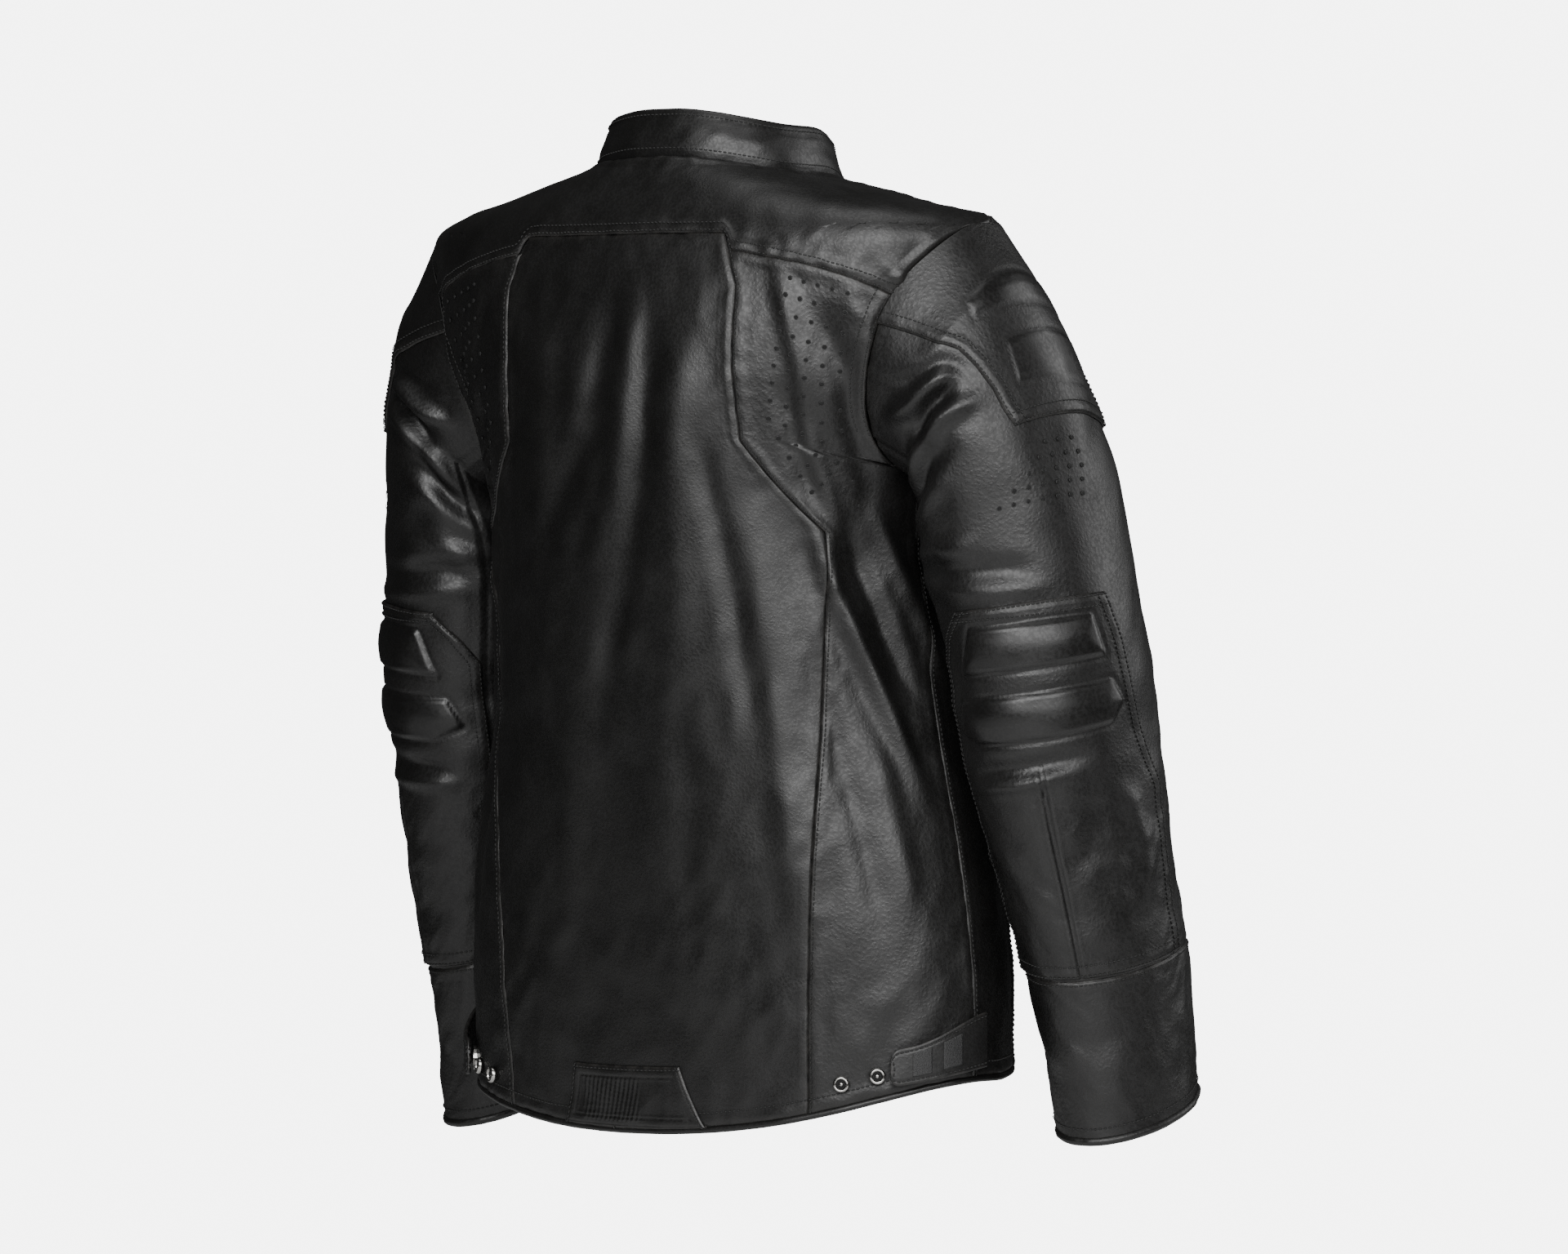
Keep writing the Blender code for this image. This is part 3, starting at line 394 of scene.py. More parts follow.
class Body(Surface):
    """The jacket's body: levels from hem to neck, and angles from the middle of the back."""

    SEAM_TURN = 0.6  # levels that the shoulder seam takes to come forwards

    def point(self, place: Array, angle: Array) -> Array:
        """Points on the bare body."""
        place, angle = np.broadcast_arrays(np.asarray(place, float), np.asarray(angle, float))
        width, side_z, side_y, back, back_z, front_z = (along_column(LEVELS[:, k], place) for k in range(6))
        across, along = np.abs(np.sin(angle)), np.cos(angle)
        power = 2 / FULLNESS
        x = width * SHOULDER_WIDTH / 2 * across**power * np.sign(np.sin(angle))
        end_z = height(np.where(along > 0, back_z, front_z))
        reach = np.where(along > 0, back - side_y, front_depth(end_z) + side_y)
        y = side_y + np.sign(along) * reach * np.abs(along) ** power
        z = end_z + (height(side_z) - end_z) * across * across
        return np.stack([x, y, z], -1)

    def drape(self, points: Array, place: Array, angle: Array) -> Array:
        """Long upright waves, with finer puckers low on the back."""
        calm = 1 - smoothstep(place, 9.0, 10.6)
        waves = perlin(points * (13, 13, 3.5), 3) * 0.0026 * calm
        ripples = perlin(points * (42, 42, 20), 8) * 0.0007 * (0.4 + 0.6 * calm)
        low_back = 1 - smoothstep(place, 1.0, 3.2)
        puckers = perlin(points * (60, 60, 46), 12) * 0.0007 * low_back
        slanted = (points + points[..., [2, 0, 1]] * 0.4) * (26, 26, 17)
        crumples = -np.abs(perlin(slanted, 19)) * 0.0013 * calm
        return waves + ripples + puckers + crumples

    @staticmethod
    def armhole_share(points: Array) -> Array:
        """Less than 1 inside the armhole, 1 on its edge."""
        middle = height(ARMHOLE_TOP) - ARMHOLE_HEIGHT / 2
        y = (points[..., 1] - ARMHOLE_Y) / (ARMHOLE_DEPTH / 2)
        z = (points[..., 2] - middle) / (ARMHOLE_HEIGHT / 2)
        return y * y + z * z

    def side_seam(self, place: Array) -> Array:
        """The angle of the seam behind the arm, which runs into the armhole at the armpit."""
        armpit = self.armpit()
        return BACK_SIDE_SEAM + (math.pi / 2 - BACK_SIDE_SEAM) * smoothstep(place, armpit - 0.5, armpit)

    def armhole_angle(self, place: Array, otherwise: float | Array, front: bool = False) -> Array:
        """The angle where each level meets the armhole, or another where it misses it."""
        place = np.asarray(place, float)
        start, middle = (math.pi - 0.2 if front else 0.2), math.pi / 2

        def test(share: Array) -> Array:
            """Whether a share of the way round is inside the armhole."""
            return self.armhole_share(self.point(place, start + (middle - start) * share)) < 1

        share = bisect(test, np.zeros_like(place), np.ones_like(place))
        meets = self.armhole_share(self.point(place, np.full_like(place, middle))) < 1
        return np.where(meets, start + (middle - start) * share, otherwise)

    def armpit(self) -> float:
        """The level whose side is the bottom of the armhole."""
        half = np.array([math.pi / 2])
        found = bisect(
            lambda v: self.armhole_share(self.point(v, half)) < 1, np.array([4.0]), np.array([7.5])
        )
        return float(found[0])

    def shoulder_seam(self, place: Array, front: bool = False) -> Array:
        """The yoke's outer seam: round the armhole, then forwards from its top to the collar."""
        half = np.array([math.pi / 2])
        top = bisect(
            lambda v: self.armhole_share(self.point(v, half)) > 1, np.array([7.5]), np.array([NECK])
        )
        forwards = (FRONT_SEAM - math.pi / 2) * smoothstep(place, top[0], top[0] + self.SEAM_TURN)
        return self.armhole_angle(place, math.pi / 2 + forwards, front)

    def armhole_edge(self, angle: Array) -> Array:
        """Points on the left armhole's edge: angle 0 is the top, positive to the back."""
        middle = height(ARMHOLE_TOP) - ARMHOLE_HEIGHT / 2
        y = ARMHOLE_Y + ARMHOLE_DEPTH / 2 * np.sin(angle)
        z = middle + ARMHOLE_HEIGHT / 2 * np.cos(angle)

        def on_side(place: Array) -> Array:
            """The point of a level at the depth of the edge."""
            side_y = along_column(LEVELS[:, 2], place)
            behind = y >= side_y
            reach = np.where(behind, along_column(LEVELS[:, 3], place) - side_y, front_depth(z) + side_y)
            share = np.clip(np.abs(y - side_y) / reach, 0, 1)
            turn = np.arccos(share ** (FULLNESS / 2))
            return self.point(place, np.where(behind, turn, math.pi - turn))

        place = bisect(lambda v: on_side(v)[..., 2] > z, np.full_like(y, 4.0), np.full_like(y, 9.2))
        return np.stack([on_side(place)[..., 0], y, z], -1)


@dataclass
class Arm(Surface):
    """A sleeve: stations from armhole to cuff, angles from the outer side towards the back."""

    side: Side = Side.LEFT
    rim: Array = field(default_factory=lambda: np.zeros((1, 3)))
    seed: int = 0

    RIM_STEPS = 180
    ROUND = 0.078  # about the radius of the sleeve, that turns an angle into metres

    def __post_init__(self) -> None:
        """Measures the armhole that the sleeve starts from."""
        self.rim = Body().armhole_edge(np.linspace(-math.pi, math.pi, self.RIM_STEPS + 1))

    def ring(self, place: Array, angle: Array) -> Array:
        """Points on the rings of the left sleeve."""
        inner, width, z_inner, z_outer, y, depth, tilt = (
            along_column(STATIONS[:, k], place) for k in range(7)
        )
        top = height(ARMHOLE_TOP)
        inner_x = inner * SHOULDER_WIDTH / 2
        low, high = top - z_inner * SLEEVE_LENGTH, top - z_outer * SLEEVE_LENGTH
        rise = depth * np.sin(angle)
        turn = np.cos(angle)
        x = inner_x + width / 2 * (1 + turn)
        z = (low + high) / 2 + (high - low) / 2 * turn - tilt * rise
        return np.stack([x, y + rise, z], -1)

    def point(self, place: Array, angle: Array) -> Array:
        """Points on the bare sleeve."""
        place, angle = np.broadcast_arrays(np.asarray(place, float), np.asarray(angle, float))
        found = self.ring(place, angle)
        wrapped = (angle + math.pi) % (2 * math.pi) / (2 * math.pi) * self.RIM_STEPS
        rim = np.stack(
            [np.interp(wrapped, np.arange(self.RIM_STEPS + 1), self.rim[:, k]) for k in range(3)], -1
        )
        share = np.clip(place, 0, 1)[..., None]
        found = np.where(
            share < 1, rim * (1 - share) + self.ring(np.ones_like(place), angle) * share, found
        )
        return found * (self.side.value, 1, 1)

    def normal(self, place: Array, angle: Array) -> Array:
        """The way the bare sleeve faces; the right one is a mirror image, so it turns round."""
        return super().normal(place, angle) * self.side.value

    def drape(self, points: Array, place: Array, angle: Array) -> Array:
        """Creases across the sleeve, strongest in the crook of the elbow and above the cuff."""
        near = points * (self.side.value, 1, 1)
        crook = hump(place, 6.4, 1.1) * (0.5 - 0.5 * np.cos(angle - 0.6))
        bunched = hump(place, 8.6, 1.3) * 0.35
        across = perlin(near * (9, 9, 46), 21 + self.seed)
        slanted = perlin((near + near[..., [2, 0, 1]] * 0.5) * (30, 30, 26), 33 + self.seed)
        waves = perlin(near * (16, 16, 11), 41 + self.seed) * 0.0022
        start = smoothstep(place, 0.0, 0.8)
        low_arm = smoothstep(place, 7.0, 8.5)
        fine = perlin((near + near[..., [2, 0, 1]] * 0.7) * (55, 55, 34), 57 + self.seed)
        creases = across * 0.0030 * (crook + bunched) + slanted * 0.0012 + np.abs(fine) * -0.0011 * low_arm
        return start * (waves + creases)

    def flat(self, place: Array, angle: Array) -> Array:
        """Where points of the sleeve lie when it is opened flat: round it, and down it."""
        stations = np.linspace(0, CUFF_END, 111)
        middle = (self.point(stations, np.zeros(111)) + self.point(stations, np.full(111, math.pi))) / 2
        return np.stack([np.asarray(angle) * self.ROUND, np.interp(place, stations, distances(middle))], -1)


# ---------------------------------------------------------------- pieces of leather


@dataclass
class Sheet:
    """A grid of points on a surface that becomes one piece of leather."""

    name: str
    points: Array
    facing: Array
    edge: Array
    wrap: bool = False
    polish: Array | None = None

    def line(self, side: str, inset: float, lift: float = 0.0004) -> tuple[Array, Array]:
        """A line parallel to one edge, a little above the leather.

        Args:
            side: "start" or "end" of the columns, "low" or "high" of the rows.
            inset: metres from that edge.
            lift: metres above the leather.

        Returns:
            Its points, and the way the leather faces at each.
        """
        points, facing = self.points, self.facing
        if side in ("low", "high"):
            points, facing = points.swapaxes(0, 1), facing.swapaxes(0, 1)
        if side in ("end", "high"):
            points, facing = points[:, ::-1], facing[:, ::-1]
        run = np.linalg.norm(np.diff(points, axis=1), axis=2).cumsum(1)
        run = np.concatenate([np.zeros((len(points), 1)), run], axis=1)
        found = np.array([[np.interp(inset, r, p[:, k]) for k in range(3)] for r, p in zip(run, points)])
        faces = np.array([[np.interp(inset, r, f[:, k]) for k in range(3)] for r, f in zip(run, facing)])
        return found + faces * lift, faces


@dataclass(frozen=True)
class Edges:
    """What happens along the four edges of a piece: True where the leather is turned and sewn."""

    start: bool = True
    end: bool = True
    low: bool = True
    high: bool = True

    def distance(self, points: Array) -> Array:
        """Metres from each grid point to the nearest sewn edge, along the grid."""
        across = np.linalg.norm(np.diff(points, axis=1), axis=2).cumsum(1)
        across = np.concatenate([np.zeros((len(points), 1)), across], axis=1)
        down = np.linalg.norm(np.diff(points, axis=0), axis=2).cumsum(0)
        down = np.concatenate([np.zeros((1, points.shape[1])), down], axis=0)
        far = np.full(points.shape[:2], 1.0)
        best = np.minimum(across, far) if self.start else far
        best = np.minimum(best, across[:, -1:] - across) if self.end else best
        best = np.minimum(best, down) if self.low else best
        return np.minimum(best, down[-1:] - down) if self.high else best


@dataclass(frozen=True)
class SeamStyle:
    """How leather lies near a sewn edge."""

    dip: float = 0.0015  # how far the very edge turns in
    raised: float = 0.0007  # the turned allowance under the topstitching
    pucker: float = 0.0007
    thick: float = 0.0  # the piece lies this much above the form

    def lift(self, points: Array, distance: Array, seed: int) -> Array:
        """How far seams lift each point of a piece."""
        edge = -self.dip * hump(distance, 0, 0.0011)
        allowance = self.raised * (1 - smoothstep(distance, SEAM_ALLOWANCE * 0.8, SEAM_ALLOWANCE * 1.25))
        stitched = sum(-0.0005 * hump(distance, inset, 0.0010) for inset in STITCH_INSETS)
        near = np.exp(-distance / 0.016)
        gathers = perlin(points * 95, seed) * self.pucker * near
        return self.thick + edge + allowance + stitched * (self.raised > 0) + gathers


FLAT_SEAM = SeamStyle(raised=0.0002, pucker=0.0006)
TOP_SEAM = SeamStyle(raised=0.0009, pucker=0.0009)
PATCH_SEAM = SeamStyle(dip=0.0020, raised=0.0007, pucker=0.0005, thick=0.0022)


def lay(
    name: str,
    surface: Surface,
    rows: Array,
    columns: Array,
    where: Callable[[Array, Array], tuple[Array, Array]],
    style: SeamStyle = FLAT_SEAM,
    edges: Edges = Edges(),
    extra: Callable[[Array, Array], Array] | None = None,
    wrap: bool = False,
    depth: float = 0.0,
    polish: Callable[[Array, Array], Array] | None = None,
) -> Sheet:
    """Lays a piece on a surface.

    Args:
        name: the piece's name.
        surface: what it is laid on.
        rows: the row values, each a share or a level.
        columns: the column values, as shares.
        where: turns columns and rows into levels and angles.
        style: how it lies near its sewn edges.
        edges: which edges are sewn.
        extra: more lift, from the level and the angle.
        wrap: whether the columns close into a tube.
        depth: moves the whole piece outwards, or inwards if negative.
        polish: where the grain is pressed flat and shiny, from the level and the angle.

    Returns:
        The piece's grid.
    """
    across, down = np.meshgrid(columns, rows)
    place, angle = where(across, down)
    bare = surface.point(place, angle)
    distance = edges.distance(bare)
    seed = sum(map(ord, name)) % 97
    lift = style.lift(bare, distance, seed) + depth
    if extra is not None:
        lift = lift + extra(place, angle)
    points = surface.skin(place, angle, lift)
    edge = np.exp(-distance / 0.0022)
    shine = polish(place, angle) if polish is not None else None
    return Sheet(name, points, surface.normal(place, angle), edge, wrap, shine)


class Shop:
    """Makes mesh objects and keeps what was made, in order."""

    def __init__(self) -> None:
        """Starts with nothing made."""
        self.made: list[Piece] = []

    def mesh(self, name: str, points: Array, faces: Iterable[Sequence[int]]) -> Piece:
        """A smooth-shaded object from points and faces."""
        mesh = bpy.data.meshes.new(name)
        mesh.from_pydata(points.reshape(-1, 3).tolist(), [], list(faces))
        mesh.validate()
        mesh.shade_smooth()
        made = bpy.data.objects.new(name, mesh)
        bpy.context.scene.collection.objects.link(made)
        self.made.append(made)
        return made

    def sheet(self, piece: Sheet, thickness: float = LEATHER) -> Piece:
        """Leather from a grid, given thickness inwards."""
        count, width = piece.points.shape[:2]
        faces = grid_faces(count, width, piece.wrap)
        a, b, c, _ = faces[len(faces) // 2]
        flat = piece.points.reshape(-1, 3)
        turned = np.cross(flat[b] - flat[a], flat[c] - flat[b]) @ piece.facing.reshape(-1, 3)[a] < 0
        made = self.mesh(piece.name, piece.points, [f[::-1] for f in faces] if turned else faces)
        for name, values in (("edge", piece.edge), ("polish", piece.polish)):
            if values is not None:
                kept = made.data.attributes.new(name, "FLOAT", "POINT")
                kept.data.foreach_set("value", values.ravel().astype(np.float32))
        solid = made.modifiers.new("thickness", "SOLIDIFY")
        solid.thickness = thickness
        solid.offset = -1
        solid.use_even_offset = False
        return made

    def sweep(self, name: str, path: Array, radius: float, sides: int = 10, closed: bool = False) -> Piece:
        """A round tube along a path, with rounded ends where it is open."""
        ahead = np.roll(path, -1, 0) - np.roll(path, 1, 0)
        if not closed:
            ahead[0], ahead[-1] = path[1] - path[0], path[-1] - path[-2]
        ahead = unit(ahead)
        guide = np.where(np.abs(ahead[:, 2:]) > 0.9, [[1.0, 0, 0]], [[0, 0, 1.0]])
        first = unit(np.cross(guide, ahead))
        second = np.cross(ahead, first)
        turn = np.linspace(0, 2 * math.pi, sides, endpoint=False)
        size = np.full(len(path), radius)
        if not closed:
            size[[0, -1]] *= 0.55
        ring = first[:, None] * np.cos(turn)[:, None] + second[:, None] * np.sin(turn)[:, None]
        points = path[:, None] + ring * size[:, None, None]
        faces = grid_faces(len(path), sides, True)
        if closed:
            faces += joined(len(path), sides)
        else:
            faces += capped(len(path), sides)
        return self.mesh(name, points, [f[::-1] for f in faces])

    def lathe(self, name: str, profile: Sequence[tuple[float, float]], foot: Array, facing: Array,
              sides: int = 40) -> Piece:
        """A turned piece: (radius, height) pairs from the middle of its top round to its foot."""
        facing = unit(np.asarray(facing, float))
        first = unit(np.cross(facing, [0.0, 0.0, 1.0] if abs(facing[2]) < 0.9 else [1.0, 0.0, 0.0]))
        second = np.cross(facing, first)
        turn = np.linspace(0, 2 * math.pi, sides, endpoint=False)[:, None]
        spin = first * np.cos(turn) + second * np.sin(turn)
        points = np.array([foot + spin * r + facing * h for r, h in profile])
        faces = grid_faces(len(profile), sides, True)
        if profile[0][0] == profile[-1][0] and profile[0][1] == profile[-1][1]:
            points = points[:-1]
            faces = faces[: (len(points) - 1) * sides] + joined(len(points), sides)
        else:
            faces += capped(len(profile), sides)
        made = self.mesh(name, points, faces)
        recalculate(made)
        return made


def grid_faces(rows: int, columns: int, wrap: bool) -> list[tuple[int, ...]]:
    """The four-sided faces of a grid of points."""
    last = columns if wrap else columns - 1
    return [
        (
            r * columns + c, r * columns + (c + 1) % columns, (r + 1) * columns + (c + 1) % columns,
            (r + 1) * columns + c
        )
        for r in range(rows - 1)
        for c in range(last)
    ]


def joined(rows: int, columns: int) -> list[tuple[int, ...]]:
    """The faces between the last ring of a tube and its first."""
    last = (rows - 1) * columns
    return [(last + k, last + (k + 1) % columns, (k + 1) % columns, k) for k in range(columns)]


def capped(rows: int, columns: int) -> list[tuple[int, ...]]:
    """The two end faces of a tube."""
    return [tuple(range(columns))[::-1], tuple(range((rows - 1) * columns, rows * columns))]


def recalculate(made: Piece) -> None:
    """Turns a closed mesh's faces outwards."""
    shape = bmesh.new()
    shape.from_mesh(made.data)
    bmesh.ops.recalc_face_normals(shape, faces=shape.faces)
    shape.to_mesh(made.data)
    shape.free()


# ---------------------------------------------------------------- finishes


def plug(tree: bpy.types.NodeTree, socket: bpy.types.NodeSocket, value: Any) -> None:
    """Feeds a socket with another node's value, or sets it."""
    if isinstance(value, Value):
        tree.links.new(value.socket, socket)
    else:
        socket.default_value = value


class Value:
    """A shader value that arithmetic can be written on."""

    def __init__(self, tree: bpy.types.NodeTree, socket: bpy.types.NodeSocket) -> None:
        """Wraps a socket of a tree."""
        self.tree, self.socket = tree, socket

    def _math(self, operation: str, first: Any, second: Any) -> "Value":
        """Adds a maths node fed by two values or numbers."""
        node = self.tree.nodes.new("ShaderNodeMath")
        node.operation = operation
        for socket, value in zip(node.inputs, (first, second)):
            plug(self.tree, socket, value)
        return Value(self.tree, node.outputs[0])

    def __add__(self, other: Any) -> "Value":
        """A sum."""
        return self._math("ADD", self, other)

    def __radd__(self, other: Any) -> "Value":
        """A sum with a number in front."""
        return self._math("ADD", other, self)

    def __sub__(self, other: Any) -> "Value":
        """A difference."""
        return self._math("SUBTRACT", self, other)

    def __rsub__(self, other: Any) -> "Value":
        """A difference from a number in front."""
        return self._math("SUBTRACT", other, self)

    def __mul__(self, other: Any) -> "Value":
        """A product."""
        return self._math("MULTIPLY", self, other)

    def __rmul__(self, other: Any) -> "Value":
        """A product with a number in front."""
        return self._math("MULTIPLY", other, self)

    def __pow__(self, other: Any) -> "Value":
        """A power."""
        return self._math("POWER", self, other)


class Paint:
    """A material being written."""

    def __init__(self, name: str) -> None:
        """Starts a material with the standard shader."""
        self.material = bpy.data.materials.new(name)
        self.material.use_nodes = True
        self.tree = self.material.node_tree
        self.shader = self.tree.nodes["Principled BSDF"]

    def node(self, kind: str, output: str | int, settings: dict[str, Any], **inputs: Any) -> Value:
        """Adds a node: its type, settings first, then its sockets (spaces written as _)."""
        node = self.tree.nodes.new(kind)
        for name, value in settings.items():
            setattr(node, name, value)
        for name, value in inputs.items():
            socket = node.inputs[int(name[1:])] if name[0] == "_" else node.inputs[name.replace("_", " ")]
            plug(self.tree, socket, value)
        return Value(self.tree, node.outputs[output])

    def place(self) -> Value:
        """Object coordinates."""
        return self.node("ShaderNodeTexCoord", "Object", {})

    def noise(self, place: Value, scale: float, detail: float = 2.0) -> Value:
        """Cloudy noise from 0 to 1."""
        return self.node("ShaderNodeTexNoise", 0, {}, Vector=place, Scale=scale, Detail=detail)

    def cells(self, place: Value, scale: float, feature: str = "SMOOTH_F1") -> Value:
        """Distance to the nearest of scattered cell middles."""
        return self.node(
            "ShaderNodeTexVoronoi", "Distance", {"feature": feature}, Vector=place, Scale=scale
        )

    def attribute(self, name: str) -> Value:
        """A number kept on the mesh."""
        return self.node("ShaderNodeAttribute", "Fac", {"attribute_name": name})

    def span(self, value: Value, low: float, high: float) -> Value:
        """A value read as 0 at low and 1 at high."""
        return self.node("ShaderNodeMapRange", 0, {"clamp": True}, _0=value, _1=low, _2=high)

    def blend(self, share: Any, first: Any, second: Any) -> Value:
        """A mix of two colours."""
        return self.node("ShaderNodeMix", 2, {"data_type": "RGBA"}, _0=share, _6=first, _7=second)

    def bump(self, tall: Value, distance: float, strength: float = 1.0, over: Value | None = None) -> Value:
        """A normal roughened by a height."""
        inputs: dict[str, Any] = {"Height": tall, "Distance": distance, "Strength": strength}
        if over is not None:
            inputs["Normal"] = over
        return self.node("ShaderNodeBump", 0, {}, **inputs)

    def feed(self, **inputs: Any) -> None:
        """Sets the shader's own sockets."""
        for name, value in inputs.items():
            socket = self.shader.inputs[name.replace("_", " ")]
            plug(self.tree, socket, value)


def grey(level: float, warm: float = 0.0) -> tuple[float, float, float, float]:
    """A grey, a little warm or cool."""
    return (level * (1 + warm), level, level * (1 - warm), 1.0)


@dataclass(frozen=True)
class LeatherFinish:
    """Dyed and polished hide, with pebbled grain."""

    name: str
    dark: float = 0.0025
    light: float = 0.0065
    roughness: float = 0.37
    grain: float = 400.0  # pebbles to the metre
    depth: float = 0.00010

    def material(self) -> bpy.types.Material:
        """The finish as a material."""
        paint = Paint(self.name)
        place = paint.place()
        bend = paint.noise(place, 160, 2)
        warped = paint.node(
            "ShaderNodeVectorMath", 0, {"operation": "MULTIPLY_ADD"}, _0=bend, _1=(0.003,) * 3, _2=place
        )
        pebble = paint.cells(warped, self.grain)
        fine = paint.cells(warped, self.grain * 2.7)
        clouds = paint.noise(place, 22, 3)
        patches = paint.span(paint.noise(place, 48, 3), 0.35, 0.68)
        polish = paint.attribute("polish")
        worn = paint.attribute("edge") * paint.span(paint.noise(place, 130, 3), 0.35, 0.7)
        base = paint.blend(clouds, grey(self.dark, 0.05), grey(self.light, 0.04))
        base = paint.blend(paint.span(pebble, 0.2, 0.6) * 0.35, base, grey(self.dark * 0.5, 0.03))
        base = paint.blend(worn * 0.6, base, grey(self.light * 4.5, 0.08))
        rough = self.roughness + (clouds - 0.5) * 0.16 + patches * 0.06 + paint.span(
            pebble, 0.25, 0.6
        ) * 0.10
        rough = rough - polish * 0.07
        rough_skin = 1 - polish * 0.8
        coarse = paint.bump((1 - pebble) * rough_skin, self.depth * 2.4, 0.75)
        skin = paint.bump((1 - fine) * rough_skin, self.depth, 0.6, coarse)
        creased = paint.bump(paint.noise(place, 330, 4) * rough_skin, self.depth * 2.0, 0.5, skin)
        paint.feed(Base_Color=base, Roughness=rough, Normal=creased, Specular_IOR_Level=0.46)
        return paint.material


@dataclass(frozen=True)
class ClothFinish:
    """Knitted or woven cloth."""

    name: str
    colour: float = 0.03
    pitch: float = 900.0
    roughness: float = 0.9

    def material(self) -> bpy.types.Material:
        """The finish as a material."""
        paint = Paint(self.name)
        place = paint.place()
        clouds = paint.noise(place, 40, 3)
        threads = paint.cells(place, self.pitch, "F1")
        base = paint.blend(clouds, grey(self.colour * 0.7), grey(self.colour * 1.3))
        base = paint.blend(paint.span(threads, 0.3, 0.6), base, grey(self.colour * 0.3))
        rough = self.roughness + (clouds - 0.5) * 0.1
        paint.feed(Base_Color=base, Roughness=rough, Normal=paint.bump(1 - threads, 0.0005, 0.6))
        return paint.material


@dataclass(frozen=True)
class MetalFinish:
    """Plated metal with fine wear."""

    name: str
    colour: tuple[float, float, float] = (0.62, 0.61, 0.59)
    roughness: float = 0.18

    def material(self) -> bpy.types.Material:
        """The finish as a material."""
        paint = Paint(self.name)
        place = paint.place()
        smears = paint.noise(place, 260, 3)
        dull = tuple(0.55 * c for c in self.colour)
        base = paint.blend(paint.span(smears, 0.35, 0.75), (*self.colour, 1.0), (*dull, 1.0))
        rough = self.roughness + smears * 0.12
        scratches = paint.bump(paint.noise(place, 1500, 2), 0.00006, 0.35)
        paint.feed(Base_Color=base, Roughness=rough, Normal=scratches, Metallic=1.0)
        return paint.material


@dataclass(frozen=True)
class FoamFinish:
    """Moulded foam."""

    name: str
    colour: float = 0.06

    def material(self) -> bpy.types.Material:
        """The finish as a material."""
        paint = Paint(self.name)
        place = paint.place()
        pores = paint.cells(place, 700, "F1")
        clouds = paint.noise(place, 30, 2)
        base = paint.blend(clouds, grey(self.colour * 0.8, -0.03), grey(self.colour * 1.2, -0.03))
        paint.feed(Base_Color=base, Roughness=0.75 + clouds * 0.15, Normal=paint.bump(pores, 0.0003, 0.5))
        return paint.material


@dataclass(frozen=True)
class ThreadFinish:
    """Twisted sewing thread."""

    name: str
    colour: float = 0.004

    def material(self) -> bpy.types.Material:
        """The finish as a material."""
        paint = Paint(self.name)
        place = paint.place()
        twist = paint.noise(place, 2200, 2)
        base = paint.blend(twist, grey(self.colour * 0.6), grey(self.colour * 1.7, 0.03))
        paint.feed(Base_Color=base, Roughness=0.60 + twist * 0.2, Normal=paint.bump(twist, 0.0002, 0.5))
        return paint.material


class Wardrobe:
    """Every finish of the jacket, made once."""

    def __init__(self) -> None:
        """Writes every finish."""
        finishes = {
            Slot.LEATHER: LeatherFinish("black_leather"),
            Slot.SMOOTH: LeatherFinish("smooth_leather", roughness=0.36, grain=520, depth=0.00006),
            Slot.LINING: ClothFinish("lining_cloth"),
            Slot.FOAM: FoamFinish("armour_foam"),
            Slot.NICKEL: MetalFinish("nickel", (0.50, 0.49, 0.47), 0.12),
            Slot.ZIP: MetalFinish("zip_metal", (0.12, 0.12, 0.125), 0.30),
            Slot.TAPE: ClothFinish("zip_tape", 0.012, 1500, 0.8),
        }
        self.made = {slot: finish.material() for slot, finish in finishes.items()}
        self.thread = ThreadFinish("thread").material()
        # Near-black cloth for the punched holes and the snaps' dishes: painted shade for their depth.
        self.hole = ClothFinish("punched_hole", 0.003, 1500, 0.95).material()
        self.stripe = ClothFinish("tab_stripe", 0.016, 1300, 0.6).material()

    def dress(self, piece: Piece, slot: Slot, material: bpy.types.Material | None = None) -> None:
        """Gives a piece its finish and names the slot it comes from."""
        piece.data.materials.clear()
        piece.data.materials.append(material or self.made[slot])


# ---------------------------------------------------------------- copies set along lines


